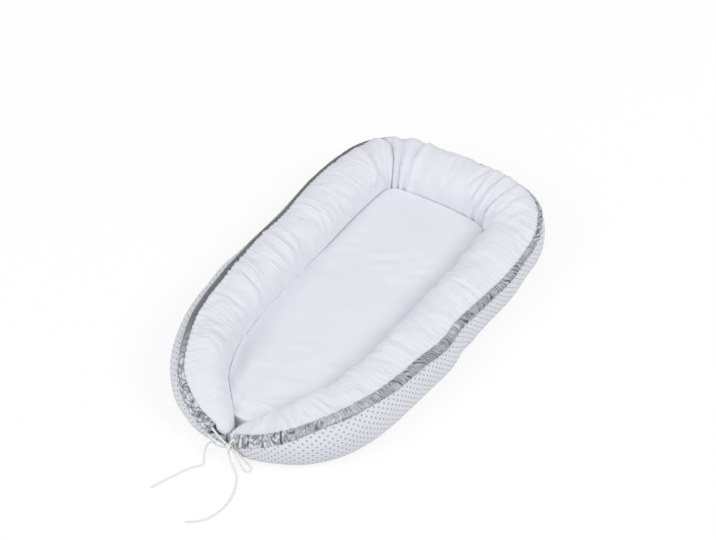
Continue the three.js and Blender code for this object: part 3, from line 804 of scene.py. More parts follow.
# Pleats and long folds of the lining: three places (along the roll, share across it), depth,
# width
PLEATS = (
    ((1.201, 0.0), (1.181, 0.5), (1.201, 1.0), 0.0058, 0.007),
    ((1.128, 0.08), (1.128, 0.6), (1.126, 1.0), 0.0046, 0.008),
    ((1.226, 0.05), (1.240, 0.5), (1.275, 0.9), 0.004, 0.009),
    ((1.163, 0.02), (1.161, 0.5), (1.163, 1.0), 0.0035, 0.007),
    ((0.944, 0.1), (0.941, 0.6), (0.939, 1.0), 0.0050, 0.007),
    ((0.916, 0.1), (0.906, 0.5), (0.881, 1.0), 0.0042, 0.008),
    ((0.891, 0.12), (0.869, 0.45), (0.820, 0.75), 0.0034, 0.008),
    ((0.859, 0.1), (0.834, 0.38), (0.790, 0.6), 0.0024, 0.009),
    ((0.968, 0.0), (0.975, 0.3), (0.985, 0.6), 0.002, 0.008),
    ((1.560, 0.0), (1.583, 0.55), (1.590, 0.95), 0.0026, 0.008),
    ((1.535, 0.0), (1.555, 0.6), (1.573, 1.0), 0.0026, 0.008),
    ((1.670, 0.0), (1.687, 0.5), (1.715, 0.95), 0.0022, 0.008),
    ((1.737, 0.0), (1.745, 0.43), (1.757, 0.9), 0.0022, 0.008),
    ((1.438, 0.0), (1.438, 0.35), (1.468, 0.85), 0.0018, 0.008),
    ((1.845, 0.0), (1.877, 0.47), (1.915, 0.8), 0.0018, 0.008),
    ((0.133, 0.0), (0.122, 0.27), (0.112, 0.58), 0.0040, 0.006),
    ((0.182, 0.0), (0.171, 0.17), (0.152, 0.48), 0.0040, 0.006),
    ((0.111, 0.0), (0.103, 0.25), (0.094, 0.50), 0.0018, 0.006),
    ((0.592, 0.05), (0.594, 0.30), (0.590, 0.55), 0.0010, 0.007),
)

# Bundles of fine folds in the lining: from and to along the roll, from and to as shares across
# it, pitch of the folds, depth, slant
BUNDLES = (
    (1.735, 1.875, 0.15, 0.78, 0.0092, 0.0034, 0.06),
    (1.625, 1.695, 0.05, 0.55, 0.0098, 0.0034, 0.05),
    (1.545, 1.625, 0.10, 0.90, 0.0102, 0.0036, 0.02),
    (1.400, 1.455, 0.12, 0.70, 0.0098, 0.0034, 0.00),
    (1.260, 1.340, 0.10, 0.75, 0.0105, 0.0024, -0.02),
    (1.150, 1.250, 0.12, 0.95, 0.0100, 0.0022, 0.03),
    (0.835, 0.960, 0.20, 0.95, 0.0098, 0.0022, 0.04),
    (0.670, 0.760, 0.10, 0.85, 0.0096, 0.0018, 0.02),
    (0.540, 0.625, 0.00, 0.70, 0.0094, 0.0020, 0.01),
    (0.405, 0.470, 0.02, 0.85, 0.0098, 0.0020, 0.00),
    (0.225, 0.320, 0.00, 0.65, 0.0092, 0.0022, -0.02),
    (0.100, 0.195, 0.00, 0.60, 0.0092, 0.0021, -0.04),
)


def pleat_height(s, share):
    """Height of the drawn pleats: a sharp valley with a soft roll on either side of it."""
    height = np.zeros_like(s)
    for start, middle, end, depth, width in PLEATS:
        shares, places = zip(*((p[1], p[0]) for p in (start, middle, end)))
        centre = np.polyval(np.polyfit(shares, places, 2), share)
        away = np.abs(s - centre)
        fade = ease(shares[0] - 0.06, shares[0] + 0.12, share) if shares[0] > 0.01 else 1.0
        fade = fade * (1 - ease(shares[2] - 0.25, shares[2], share) * (shares[2] < 0.99))
        valley = hill(away, 0.55 * width, 1.3)
        rolls = hill(away - 1.5 * width, width)
        height += depth * fade * (0.55 * rolls - valley)
    return height


def bundle_height(s, share):
    """Height of the bundles of fine folds that lie nearly side by side."""
    height = np.zeros_like(s)
    for k, (start, end, low, high, pitch, depth, slant) in enumerate(BUNDLES):
        u = s - slant * (share - low)
        phase = (u - start) / pitch + 0.5 * noise1(u / 0.03, 70 + k)
        phase = phase + 0.3 * noise2(u / 0.05, share * 3, 90 + k)
        fold = np.floor(phase)
        first = low + 0.18 * noise1(fold * 1.7, 110 + k)
        last = high + 0.18 * noise1(fold * 2.3, 130 + k)
        along = (u - start) / (end - start)
        seen = ease(0, 0.15, along) * ease(0, 0.15, 1 - along)
        seen = seen * ease(first - 0.08, first + 0.1, share)
        seen = seen * (1 - ease(last - 0.12, last + 0.1, share))
        ridge = np.abs(np.sin(math.pi * phase)) ** 0.8
        height += depth * (0.6 + 0.4 * noise1(fold * 3.1, 150 + k)) * seen * ridge
    return height


def gather_height(s, across, width=0.0118, depth=0.0024, shortest=0.016):
    """Height of the small gathers that start at the tunnel's edge and run out over the roll."""
    pitch = s / width + 0.8 * noise1(s / 0.05, 3) + 0.35 * noise1(across / 0.02 + s / 0.06, 8)
    size = 0.6 + 0.5 * noise1(np.floor(pitch) * 1.7, 5)
    reach = shortest + shortest * (1 + noise1(np.floor(pitch) * 2.3, 6))
    ridge = np.abs(np.sin(math.pi * pitch)) ** 1.4
    return depth * size * (ridge - 0.55) * np.exp(-np.maximum(across - 0.002, 0) / reach)


def weigh(obj, name, weights):
    """A vertex group with a weight for every point."""
    group = obj.vertex_groups.new(name=name)
    for index, weight in enumerate(weights.ravel()):
        if weight > 0:
            group.add([index], float(weight), "REPLACE")


def cloth_settled(points, pins, fuller, growth, pressure, cap, frames=20):
    """Where a cloth settles that is cut too large for its grid and is blown up a little."""
    rows, cols = points.shape[:2]
    faces = grid_faces(rows, cols, flip=True)
    sim = mesh_object("cloth_trial", points.reshape(-1, 3), faces, finish_named("White cotton"))
    weigh(sim, "held", pins)
    weigh(sim, "fuller", fuller)
    cloth = sim.modifiers.new("Cloth", "CLOTH")
    cloth.collision_settings.use_collision = False
    cloth.collision_settings.use_self_collision = False
    cloth.point_cache.frame_start, cloth.point_cache.frame_end = 1, frames
    settings = cloth.settings
    settings.quality, settings.mass = 6, 0.2
    settings.tension_stiffness = settings.compression_stiffness = 12
    settings.shear_stiffness, settings.bending_stiffness = 4, 0.06
    settings.tension_damping = settings.compression_damping = 8
    settings.effector_weights.gravity = 0
    settings.use_pressure, settings.uniform_pressure_force = True, pressure
    settings.vertex_group_mass, settings.pin_stiffness = "held", 1.0
    settings.vertex_group_shrink = "fuller"
    settings.shrink_min, settings.shrink_max = -growth[0], -growth[1]
    scene = bpy.context.scene
    for frame_number in range(1, frames + 1):
        scene.frame_set(frame_number)
    moved = np.empty(rows * cols * 3)
    evaluated = sim.evaluated_get(bpy.context.evaluated_depsgraph_get())
    evaluated.data.vertices.foreach_get("co", moved)
    bpy.data.objects.remove(sim)
    scene.frame_set(1)
    shift = moved.reshape(points.shape) - points
    far = np.linalg.norm(shift, axis=-1, keepdims=True)
    return points + shift * (cap * np.tanh(far / cap) / np.maximum(far, 1e-9))


class LOUNGER_OT_lining(NestOperator, bpy.types.Operator):
    """Sew the white lining over the roll's top and inner side"""
    bl_idname = "lounger.lining"
    bl_label = "Lining"

    rows: IntProperty(
        name="Rows", description="Rows of the simulated cloth along the roll", default=481, min=41
    )
    columns: IntProperty(
        name="Columns", description="Points across the simulated cloth", default=25, min=9
    )
    pressure: FloatProperty(
        name="Pressure", description="How hard the filling presses on the cloth", default=1.1
    )
    growth: FloatProperty(
        name="Growth", description="How much too large the cloth is cut", default=0.042
    )
    corner_growth: FloatProperty(
        name="Corner growth", description="The same at the head's corners", default=0.10
    )
    tight: length_prop("Start inside", "How far inside it starts", 0.0045)
    cap: length_prop("Cap", "Furthest move of a point", 0.008)

    # The head's corners, where the cloth is fuller: distance from the middle of the head, reach
    corner_place, corner_reach = 0.165, 0.07
    # The puff over the tunnel at the head: height, and place and width as shares across
    puff_height, puff_place, puff_width = 0.004, 0.13, 0.12
    deepest = -0.0045

    def execute(self, context):
        roll, sizes = self.roll, self.sizes
        s = np.linspace(0, roll.length, self.rows)
        low = roll.tunnel_turn(s) + roll.tunnel_half_turn(s) - EDGE_TUCK
        points, across = roll.strip(s, low, np.full_like(low, roll.lining_edge), self.columns)
        along = s[:, None] + 0 * across
        share = across / across[:, -1:]
        seam_points = roll.point(s, roll.floor_turn(s)[:, None])[:, 0]
        to_seam = np.linalg.norm(points - seam_points[:, None], axis=-1).argmin(axis=1)[:, None]
        inner = share / (to_seam / (self.columns - 1))
        points = self.draped(roll, points, along, share, inner)
        grid = np.concatenate([points, np.stack([along, across, inner], axis=-1)], axis=-1)
        grid = resampled(resampled(refined(grid), 0, 3, 2), 1, 2, 3)
        points, along, across, inner = grid[..., :3], grid[..., 3], grid[..., 4], grid[..., 5]
        small = gather_height(along, across) * (1 - 0.8 * roll.over_head(along))
        small = small + bundle_height(along, inner)
        points = points + grid_normals(points) * (small * roll.off_tips(along))[..., None]
        uv = np.stack([along, across], axis=-1)
        finish = finish_named("White gathered cotton")
        lining = grid_object("lining_cloth", points, finish, uv, flip=True)
        thicken(lining, sizes.cloth)
        settled(lining, "white_cloth", "bolster_lining")
        return {"FINISHED"}

    def draped(self, roll, points, along, share, inner):
        """The lining's grid with its puff, pleats and broad folds, settled as cloth."""
        normal = grid_normals(points)
        tips = roll.off_tips(along)
        free = ease(0, 0.08, share) * (1 - ease(0.86, 1.0, inner)) * tips
        puff = self.puff_height * hill(share - self.puff_place, self.puff_width)
        puff = puff * roll.over_head(along)
        folds = pleat_height(along, inner) * (1 - ease(1.0, 1.08, inner)) * ease(0, 0.04, share)
        slant = along + 0.05 * (inner - 0.4) * noise1(along / 0.16, 21)
        folds = folds + 0.0013 * noise2(slant / 0.019, inner * 2.2, 11) * free
        laid = points + normal * (puff * tips)[..., None]
        points = laid + normal * (folds * tips)[..., None]
        from_corner = np.abs(along - roll.mirror) - self.corner_place
        corner = hill(from_corner, self.corner_reach) * ease(0, 0.3, inner)
        patchy = 0.25 * (1 + noise1(along / 0.12, 27)) * ease(0.02, 0.25, share)
        pins = np.clip(1 - free * 1.2, 0.0, 1.0)
        pins[(share <= 0.0) | (inner >= 1.0) | (tips <= 0.0)] = 1.0
        points = cloth_settled(
            points - normal * (self.tight * free)[..., None], pins, np.clip(corner + patchy, 0, 1),
            (self.growth, self.corner_growth), self.pressure, self.cap,
        )
        points = points + normal * (0.6 * folds * tips)[..., None]
        sunk = ((points - laid) * normal).sum(axis=-1)
        held_up = np.maximum(sunk, self.deepest + 0.4 * (sunk - self.deepest)) - sunk
        return points + normal * held_up[..., None]


class LOUNGER_OT_cover(NestOperator, bpy.types.Operator):
    """Sew the dotted cloth round the roll's outer side"""
    bl_idname = "lounger.cover"
    bl_label = "Dotted cover"

    fold_pitch, fold_depth = 0.016, 0.0011

    def execute(self, context):
        roll, sizes = self.roll, self.sizes
        s = np.linspace(0, roll.length, 641)
        high = roll.tunnel_turn(s) - roll.tunnel_half_turn(s) + EDGE_TUCK
        points, across = roll.strip(s, np.full_like(high, roll.cover_edge), high, 37)
        total = across[:, -1:]
        from_band = total - across
        pitch = s[:, None] / self.fold_pitch + 0.8 * noise1(s[:, None] / 0.05, 33)
        ridge = np.sin(math.pi * pitch) ** 2 - 0.5
        height = self.fold_depth * ridge * np.exp(-np.maximum(from_band - 0.003, 0) / 0.028)
        height = height + 0.001 * noise2(s[:, None] / 0.03 + 0 * across, across / 0.06, 35)
        points = points + grid_normals(points) * height[..., None]
        points[..., 2] = np.maximum(points[..., 2], LOWEST)
        drawn_up = np.exp(-(roll.length - s) / 0.12) - np.exp(-s / 0.12)
        uv = np.stack([(s + 0.03 * drawn_up)[:, None] + 0 * across, across], axis=-1)
        cover = grid_object("dotted_cover", points, finish_named("Dotted cotton"), uv, flip=True)
        thicken(cover, sizes.cloth)
        settled(cover, "dotted_cloth", "outer_cover")
        return {"FINISHED"}


class LOUNGER_OT_tunnel(NestOperator, bpy.types.Operator):
    """Gather the grey cord tunnel along the roll's outer edge, in two strips"""
    bl_idname = "lounger.tunnel"
    bl_label = "Cord tunnel"

    row_step, columns = 0.00105, 17
    join_gap, lip_lift = 0.0004, -0.0021
    fold_pitch, crossed_pitch, fine_pitch = 0.0066, 0.0062, 0.0033
    fold_depth, crumple_depth, fine_depth = 0.0028, 0.0024, 0.0008
    # Along the left arm the band is drawn up tight, with flatter folds and painted shade: from none
    # to all of it, and back to none
    calm_span = (1.18, 1.24, 1.8, 1.95)

    def execute(self, context):
        roll, join = self.roll, self.sizes.tunnel_join
        first, last = roll.mouths[0], roll.length - roll.mouths[1]
        self.strip("tunnel_gathers_short", first, join - self.join_gap, "tunnel_strip_short")
        self.strip("tunnel_gathers_long", join + self.join_gap, last, "tunnel_strip_long")
        return {"FINISHED"}

    def strip(self, name, start, end, node):
        """One strip: its gathered outer side, its back, and the painted shade and painted highlight
        of each fold.
        """
        roll, sizes = self.roll, self.sizes
        cols = self.columns
        s = np.linspace(start, end, int((end - start) / self.row_step))
        half = roll.tunnel_half_turn(s)
        calm = between(s, self.calm_span)
        low = roll.tunnel_turn(s) - half * (1 + 0.05 * (1 - calm) * noise1(s / 0.007, 51))
        high = roll.tunnel_turn(s) + half * (1 + 0.07 * (1 - calm) * noise1(s / 0.006, 53))
        across, _ = roll.strip(s, low, high, cols)
        normal = grid_normals(across)
        v = np.linspace(0, 1, cols)[None, :]
        sv = s[:, None] + 0 * v
        tight = calm[:, None] + 0 * v
        lift, painted_shade, painted_highlight = self.gathers(roll, sv, v, tight)
        clear = (sizes.cord_diameter + 0.001) * hill(v - 0.5, 0.15, 4)
        outer = across + normal * np.maximum(lift, np.maximum(clear, SKIN_GAP))[..., None]
        back = across[:, ::-1] - normal[:, ::-1] * SKIN_GAP
        ring = np.concatenate([outer, back[:, 4:-1:4]], axis=1)
        plain_back = np.zeros((len(s), ring.shape[1] - cols))

        def with_back(values):
            return np.concatenate([values, plain_back], axis=1)

        run = with_back(v * sizes.tunnel_width + 0 * sv)
        uv = np.stack([s[:, None] + 0 * run, run], axis=-1)
        finish = finish_named("Grey gathered cotton")
        band = grid_object(name, ring, finish, uv, closed=True, flip=True)
        # Painted shade and painted highlight, kept as attributes for the grey cloth's finish
        float_attribute(band, "fold_depth", with_back(np.clip(painted_shade, 0, 1)))
        float_attribute(band, "ridge_highlight_painted", with_back(np.clip(painted_highlight * (1 - tight), 0, 1)))
        if node == "tunnel_strip_long":
            band = self.with_lip(band, end)
        thicken(band, TUNNEL_CLOTH)
        settled(band, "grey_cloth", node)

    def gathers(self, roll, sv, v, tight):
        """How far the band stands out, and its painted shade in the folds and painted highlight on
        the ridges.
        """
        join, width = roll.sizes.tunnel_join, roll.sizes.tunnel_width
        crown = (1 - np.abs(2 * v - 1) ** 2.4) ** 0.8 * (roll.sizes.cord_diameter + 0.0014)
        slant = sv + width * (v - 0.5) * (0.3 + 0.4 * noise1(sv / 0.05, 41))
        crumple = ease(0.34, 0.14, sv) * (1 - 0.55 * ease(join, join + 0.012, sv))
        crumple = crumple + ease(roll.length - 0.26, roll.length - 0.1, sv)
        crumple = crumple + 0.6 * hill(sv - 0.81, 0.075)
        dense = 0.9 * ease(0.22, 0.34, sv) * ease(0.95, 0.86, sv)
        pitch = slant / self.fold_pitch + 1.5 * noise1(sv / 0.03, 44) + 0.7 * noise1(sv / 0.012, 42)
        pitch = pitch + 0.3 * noise2(sv / 0.011, v * 2.4, 46)
        fold = np.floor(pitch)
        size = np.clip(0.6 + 1.1 * noise1(fold * 1.7, 47) + 0.35 * dense, 0.04, 1.4)
        ends = 0.55 + 0.75 * noise1(fold * 2.3, 48)
        reach = 0.12 + 0.88 * hill(v - ends, 0.33)
        wave = np.abs(np.sin(math.pi * pitch))
        crossed = sv - 1.3 * width * (v - 0.5) * (0.7 + 0.5 * noise1(sv / 0.04, 52))
        second = v * 2.8 + 2 * noise1(sv / 0.03, 54)
        broken = noise2(crossed / self.crossed_pitch, second, 54)
        dent = np.clip(2.0 * np.abs(broken + 0.4 * noise2(sv / 0.0036, v * 5, 60)), 0, 1)
        fine = slant / self.fine_pitch + 0.8 * noise2(sv / 0.008, v * 3, 55)
        fine = np.abs(np.sin(math.pi * fine))
        patch = ease(-0.1, 0.6, noise2(sv / 0.035, v * 1.5, 57))
        fade = ease(0, 0.1, v) * ease(0, 0.1, 1 - v)

        folds = (0.3 + 0.7 * fade) * self.fold_depth * size * reach * (wave**0.65 - 0.6)
        lift = crown + folds * (1 - 0.75 * tight)
        lift = lift + self.fine_depth * fade * patch * (fine - 0.5)
        lift = lift + 0.0011 * fade * (1 - tight) * noise1(sv / 0.017, 49)
        lift = lift + self.crumple_depth * crumple * fade * (dent**0.7 - 0.5)

        # Painted shade: the band is mixed toward its fold grey in the valleys, more where it
        # crumples and the folds lie dense
        painted_shade = (1 - wave) ** 1.6 * size * reach * (2 + 0.5 * crumple + 1.6 * dense)
        # Painted shade over the tight part along the left arm
        painted_shade = painted_shade * (1 - 0.7 * tight) + 0.84 * tight
        # Painted shade on the band's lower side, from the right arm round to the head
        shaded = ease(0.28, 0.4, sv) * ease(0.9, 0.8, sv) * ease(0.55, 0.05, v)
        painted_shade = painted_shade + 0.3 * shaded * (0.6 + 0.4 * noise1(sv / 0.009, 45))
        # More painted shade in the dents where the band crumples near the tips
        painted_shade = painted_shade * (1 - 0.5 * crumple) + 1.0 * crumple * (1 - dent) ** 3.4
        # Painted shadow: a thin line at the join of the two strips, with lighter folds beside it
        from_join = np.abs(sv - join)
        painted_shade = painted_shade * (1 - 0.8 * hill(from_join, 0.007)) + 1.5 * hill(from_join, 0.0016, 4)

        # Painted highlight: lighter grey on crumpled ridges near the tips and on the fold crests
        glow = 0.3 + 0.7 * ease(-0.5, 0.5, noise2(sv / 0.006, v * 4, 62))
        painted_highlight = glow * crumple * ease(0.35, 0.8, dent)
        painted_highlight = painted_highlight + (0.35 + 0.4 * dense) * wave**3 * patch
        return lift, painted_shade, painted_highlight

    def with_lip(self, band, end):
        """The under layer, which runs on past the left mouth and shows in the slit at the tip,
        wholly in painted shade.
        """
        roll = self.roll
        s = np.linspace(end - 0.006, roll.length - 0.0045, 30)
        middle, half = roll.tunnel_turn(s), roll.tunnel_half_turn(s) + math.radians(5)
        points, across = roll.strip(s, middle - half, middle + half, 7, self.lip_lift)
        uv = np.stack([s[:, None] + 0 * across, across], axis=-1)
        lip = grid_object("tunnel_lip", points, finish_named("Grey gathered cotton"), uv, flip=True)
        # Painted shadow: the whole under layer takes the deepest painted shade, so the slit shows
        # as a shadow
        float_attribute(lip, "fold_depth", np.ones(points.shape[:2]))
        only(band)
        lip.select_set(True)
        bpy.ops.object.join()
        return band


def inner_outline(roll, clear, foot_gap=0.016):
    """The lying cloth's seam moved in by a clearance: places along, points, outward directions."""
    s = np.linspace(0, roll.length, OUTLINE_ROWS)
    edge = roll.point(s, roll.floor_turn(s)[:, None])[:, 0]
    keep = (edge[:, 1] > 0) | (np.abs(edge[:, 0]) >= foot_gap)
    outward = roll.outward(s)
    edge[:, :2] -= outward * clear
    return s[keep], edge[keep], outward[keep]


def filled(edge, shares):
    """Rings from an outline in to its middle line, as places in plan."""
    middle = (edge[:, :2] + edge[::-1, :2]) / 2
    middle[:, 1] *= 0.6
    return np.array([edge[:, :2] * (1 - share) + middle * share for share in shares])


def from_edge(plan, edge):
    """Distances in plan of the rings' points from the outline's own."""
    return np.linalg.norm(plan - edge[None, :, :2], axis=-1)


def add_sides(rows, roll, s, outward, clear, drop, share=1.0):
    """Rows down the roll's inner side, each of them lower than the last one."""
    turn = roll.floor_turn(s)
    for part in np.linspace(0, share, 8)[1:]:
        row = roll.point(s, (turn + (roll.lining_edge - turn) * part)[:, None])[:, 0]
        row[:, :2] -= outward * clear
        row[:, 2] = np.minimum(row[:, 2], rows[-1][:, 2] - drop)
        rows.append(row)


def merged(obj, distance=0.0004):
    """The two sides of the middle line made one."""
    only(obj)
    bpy.ops.object.mode_set(mode="EDIT")
    bpy.ops.mesh.select_all(action="SELECT")
    bpy.ops.mesh.remove_doubles(threshold=distance)
    bpy.ops.mesh.normals_make_consistent(inside=False)
    bpy.ops.object.mode_set(mode="OBJECT")
    return obj


def lying_top(roll, s, edge, plan, shares, shoulder=0.006, crown=0.005, climb=0.008):
    """Heights of the pad's crowned top, which climbs to the seam where the cloth sinks."""
    reach = from_edge(plan, edge)
    share = np.array(shares)[:, None]
    crown = crown * (1 - (1 - share) ** 2) ** 2
    level = edge[None, :, 2]
    rise = ease(0, 0.15 + 0.35 * roll.dip(s), share)
    top = level + (roll.sizes.floor_height + crown - level) * rise
    round_off = np.clip(1 - reach / shoulder, 0, 1)
    climb = climb * roll.dip(s) * np.exp(-reach / 0.009)
    return top - shoulder * (1 - np.sqrt(1 - round_off**2)) + climb


class LOUNGER_OT_floor(NestOperator, bpy.types.Operator):
    """Lay the white lying cloth over the mattress pad"""
    bl_idname = "lounger.floor"
    bl_label = "Lying cloth"

    # The cloth's shoulder is crisp along the arms and rounder at the head: radii, and where the
    # rounder one starts, is full, goes and has gone
    crisp, rounder = 0.0005, 0.0045
    rounder_span = (0.74, 0.86, 1.38, 1.55)
    # Folds that fan out from a place near the foot
    fan_place, fan_depth = (-0.01, -0.35), 0.0026

    def execute(self, context):
        roll, sizes = self.roll, self.sizes
        s, edge, outward = inner_outline(roll, SKIN_GAP)
        edge[:, :2] += outward * (0.0009 * roll.dip(s))[:, None]
        shares = np.linspace(0, 1, 52) ** 1.6
        plan = filled(edge, shares)
        shoulder = self.crisp + self.rounder * between(s, self.rounder_span)
        top = lying_top(roll, s, edge, plan, shares, shoulder)
        x, y = plan[..., 0], plan[..., 1]
        wide = noise2(x / 0.10 + 0.4 * y / 0.1 + 3, y / 0.05 + 9, 61)
        fine = noise2(x / 0.04 + 7, y / 0.018 - 0.5 * x / 0.018, 63)
        patch = ease(-0.2, 0.5, noise2(x / 0.12, y / 0.12 + 5, 65))
        away = ease(0.004, 0.04, from_edge(plan, edge))
        top = top + away * (0.0021 * wide + 0.0017 * fine * patch)
        fan_x, fan_y = x - self.fan_place[0], y - self.fan_place[1]
        fan = noise1(np.arctan2(fan_y, fan_x) * 5.5 + 20, 67)
        near_edge = ease(0.0, 0.012, from_edge(plan, edge))
        top = top + self.fan_depth * near_edge * fan * hill(np.hypot(fan_x, fan_y) - 0.07, 0.06)
        rows = list(np.concatenate([plan, top[..., None]], axis=-1)[::-1])
        add_sides(rows, roll, s, outward, SKIN_GAP, 0.0005)
        points = np.array(rows)
        finish = finish_named("White cotton")
        floor = grid_object("lying_cloth", points, finish, points[..., :2], closed=True)
        thicken(merged(floor), sizes.cloth)
        settled(floor, "white_cloth", "floor_cloth")
        return {"FINISHED"}


class LOUNGER_OT_pad(NestOperator, bpy.types.Operator):
    """Fill the space under the lying cloth with the mattress pad"""
    bl_idname = "lounger.pad"
    bl_label = "Mattress pad"

    # Gaps to the cloths beside, over and under the pad, and the height of its tufts
    gap, top_gap, lowest, tuft = 0.0025, 0.0028, 0.0018, 0.0006

    def execute(self, context):
        roll = self.roll
        s, edge, outward = inner_outline(roll, self.gap)
        shares = np.linspace(0, 1, 26) ** 1.5
        plan = filled(edge, shares)
        top = lying_top(roll, s, edge, plan, shares) - self.top_gap
        tufts = self.tuft * noise2(plan[..., 0] / 0.012, plan[..., 1] / 0.012, 71)
        rows = list(np.concatenate([plan, (top - np.abs(tufts))[..., None]], axis=-1)[::-1])
        add_sides(rows, roll, s, outward, self.gap, 0.001, 0.92)
        for row in filled(rows[-1], np.linspace(0, 1, 12)[1:]):
            rows.append(np.column_stack([row, np.full(len(row), self.lowest)]))
        points = np.array(rows)
        points[..., 2] = np.maximum(points[..., 2], self.lowest)
        pad = merged(grid_object("pad_filling", points, finish_named("Fibre filling"), closed=True))
        settled(pad, "fibre", "mattress_pad")
        return {"FINISHED"}


class LOUNGER_OT_filling(NestOperator, bpy.types.Operator):
    """Stuff the roll with fibre"""
    bl_idname = "lounger.filling"
    bl_label = "Roll filling"

    # Where it starts from a tip, how far it stays under the cloths, and the height of its tufts
    from_tip, deepest, lowest, tuft = 0.006, 0.0115, 0.0035, 0.0015

    def execute(self, context):
        roll = self.roll
        s = np.linspace(self.from_tip, roll.length - self.from_tip, 361)
        turn = np.linspace(0, 2 * math.pi, 37)[:-1]
        width, height = roll.halves(s)
        depth = np.minimum(self.deepest, 0.35 * np.minimum(width, height))[:, None]
        wave = np.sin(turn)[None, :] * 4 + turn[None, :]
        tufts = self.tuft * noise2(s[:, None] / 0.014 + 0 * turn, wave, 73)
        points = roll.point(s, turn, -depth + tufts * ease(0, 0.05, s)[:, None])
        points[..., 2] = np.maximum(points[..., 2], self.lowest)
        verts = [*points.reshape(-1, 3), points[0].mean(axis=0), points[-1].mean(axis=0)]
        faces = capped_faces(*points.shape[:2])
        filling = mesh_object("roll_filling", verts, faces, finish_named("Fibre filling"))
        merged(filling, 0.00001)
        settled(filling, "fibre", "bolster_filling")
        return {"FINISHED"}


class LOUNGER_OT_base(NestOperator, bpy.types.Operator):
    """Close the nest underneath with a dotted cloth"""
    bl_idname = "lounger.base"
    bl_label = "Base cloth"

    foot_gap, hem = 0.004, 0.0015

    def execute(self, context):
        roll = self.roll
        s = np.linspace(0, roll.length, OUTLINE_ROWS)
        edge = roll.point(s, np.full((len(s), 1), roll.cover_edge))[:, 0]
        own_side = edge[:, 0] * np.where(s < roll.mirror, 1, -1)
        keep = (edge[:, 1] > 0) | (own_side >= self.foot_gap)
        edge = edge[keep]
        edge[:, :2] -= roll.outward(s)[keep] * self.hem
        plan = filled(edge, np.linspace(1, 0, 24))
        points = np.concatenate([plan, np.full((*plan.shape[:2], 1), BASE_CLOTH)], axis=-1)
        finish = finish_named("Dotted cotton")
        base = grid_object("base_sheet", points, finish, points[..., :2], closed=True)
        thicken(merged(base), BASE_CLOTH)
        settled(base, "dotted_cloth", "base_cloth")
        return {"FINISHED"}


class LOUNGER_OT_drawcord(NestOperator, bpy.types.Operator):
    """Run the drawcord through the tunnel from mouth to mouth"""
    bl_idname = "lounger.drawcord"
    bl_label = "Drawcord"

    def execute(self, context):
        roll, sizes = self.roll, self.sizes
        start, end = sizes.tunnel_mouth - 0.006, roll.length - sizes.tunnel_mouth + 0.006
        s = np.linspace(start, end, 400)
        radius = sizes.cord_diameter / 2
        route = roll.point(s, roll.tunnel_turn(s)[:, None], radius + 0.0002)[:, 0]
        finish = finish_named("Braided cord")
        cord, centres = tube("drawcord_braid", route, radius, finish, step=0.002)
        settled(cord, "white_cord", "drawcord")
        return {"FINISHED"}


def seen_itself(tree, rays):
    """Whether a thing is seen by itself, in a gloss or through glass."""
    seen = maths(tree, "MAXIMUM", rays["Is Camera Ray"], rays["Is Glossy Ray"])
    return maths(tree, "MAXIMUM", seen, rays["Is Transmission Ray"])


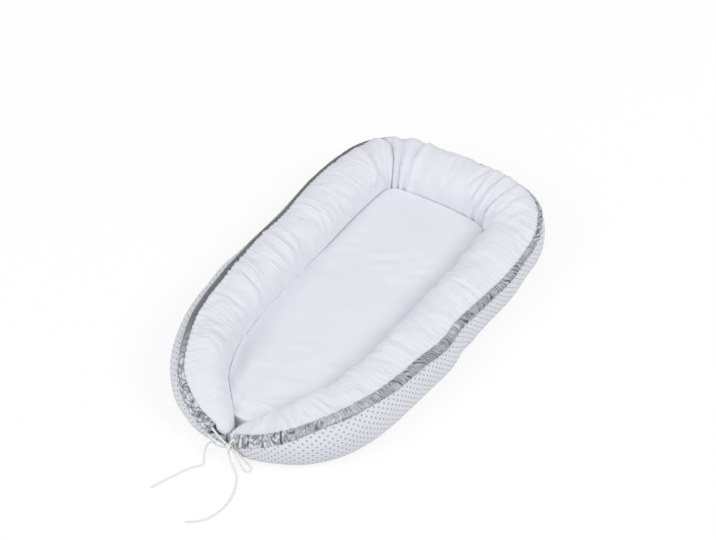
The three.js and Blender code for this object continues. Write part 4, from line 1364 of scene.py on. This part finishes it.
class LOUNGER_OT_stage(bpy.types.Operator):
    """Set up the pale floor and the soft studio light"""
    bl_idname = "lounger.stage"
    bl_label = "Floor and lights"

    # How much of the floor glows by itself, its grey as a reflector, the sky's level and tint
    glow, paper = 0.8, (0.85, 0.85, 0.85)
    sky_level, sky_tint = 0.61, (0.95, 0.97, 1.0)
    # Square lamps aimed at the origin: place, size in metres, power in watts
    lamps = {
        "key_light": ((-2.6, -6.2, 4.8), 3.6, 220),
        "fill_light": ((4.2, 0.7, 3.9), 2.4, 112),
    }

    def execute(self, context):
        context.scene.view_settings.view_transform = "Standard"
        self.floor(context)
        self.sky(context)
        for name, (place, size, power_w) in self.lamps.items():
            data = bpy.data.lights.new(name, "AREA")
            data.shape, data.size, data.energy = "SQUARE", size, power_w
            lamp = bpy.data.objects.new(name, data)
            lamp.location = place
            lamp.rotation_euler = (-Vector(place)).to_track_quat("-Z", "Y").to_euler()
            context.scene.collection.objects.link(lamp)
        return {"FINISHED"}

    def floor(self, context):
        bpy.ops.object.select_all(action="DESELECT")
        bpy.ops.mesh.primitive_plane_add(size=14, location=(0, 0, 0))
        floor = context.object
        floor.name = "studio_floor"
        made = bpy.data.materials.new("Studio floor")
        made.use_nodes = True
        tree = made.node_tree
        tree.nodes.clear()
        rays = add_node(tree, "ShaderNodeLightPath").outputs
        paper = mix_colour(tree, rays["Is Camera Ray"], self.paper, (1, 1, 1))
        diffuse = add_node(tree, "ShaderNodeBsdfDiffuse", {"Color": paper}).outputs[0]
        glow = add_node(tree, "ShaderNodeEmission", {"Color": (1, 1, 1, 1), "Strength": 1.0})
        share = maths(tree, "MULTIPLY", seen_itself(tree, rays), self.glow)
        mixed = add_node(tree, "ShaderNodeMixShader", {0: share, 1: diffuse, 2: glow.outputs[0]})
        output = add_node(tree, "ShaderNodeOutputMaterial")
        tree.links.new(mixed.outputs[0], output.inputs["Surface"])
        floor.data.materials.append(made)

    def sky(self, context):
        world = bpy.data.worlds.new("Studio")
        context.scene.world = world
        world.use_nodes = True
        tree = world.node_tree
        seen = seen_itself(tree, add_node(tree, "ShaderNodeLightPath").outputs)
        background = tree.nodes["Background"].inputs
        level = map_range(tree, seen, (0.0, 1.0), (self.sky_level, 1.0))
        tree.links.new(mix_colour(tree, seen, self.sky_tint, (1, 1, 1)), background["Color"])
        tree.links.new(level, background["Strength"])


STEPS = (
    LOUNGER_OT_camera, LOUNGER_OT_bow, LOUNGER_OT_drawcord, LOUNGER_OT_filling, LOUNGER_OT_pad,
    LOUNGER_OT_base, LOUNGER_OT_lining, LOUNGER_OT_cover, LOUNGER_OT_tunnel, LOUNGER_OT_floor,
    LOUNGER_OT_stage,
)


class LOUNGER_PT_panel(bpy.types.Panel):
    """The lounger's pieces, in the order they are made"""
    bl_idname = "LOUNGER_PT_panel"
    bl_label = "Infant lounger"
    bl_space_type = "VIEW_3D"
    bl_region_type = "UI"
    bl_category = "Lounger"

    def draw(self, context):
        for step in STEPS:
            self.layout.operator(step.bl_idname)


CLASSES = (LoungerSizes, LoungerColours, *STEPS, LOUNGER_PT_panel)


def register():
    for cls in CLASSES:
        bpy.utils.register_class(cls)
    bpy.types.Scene.lounger_sizes = PointerProperty(type=LoungerSizes)
    bpy.types.Scene.lounger_colours = PointerProperty(type=LoungerColours)


def unregister():
    del bpy.types.Scene.lounger_colours
    del bpy.types.Scene.lounger_sizes
    for cls in reversed(CLASSES):
        bpy.utils.unregister_class(cls)


def main():
    register()
    for step in STEPS:
        area, name = step.bl_idname.split(".")
        getattr(getattr(bpy.ops, area), name)()


if __name__ == "__main__":
    main()
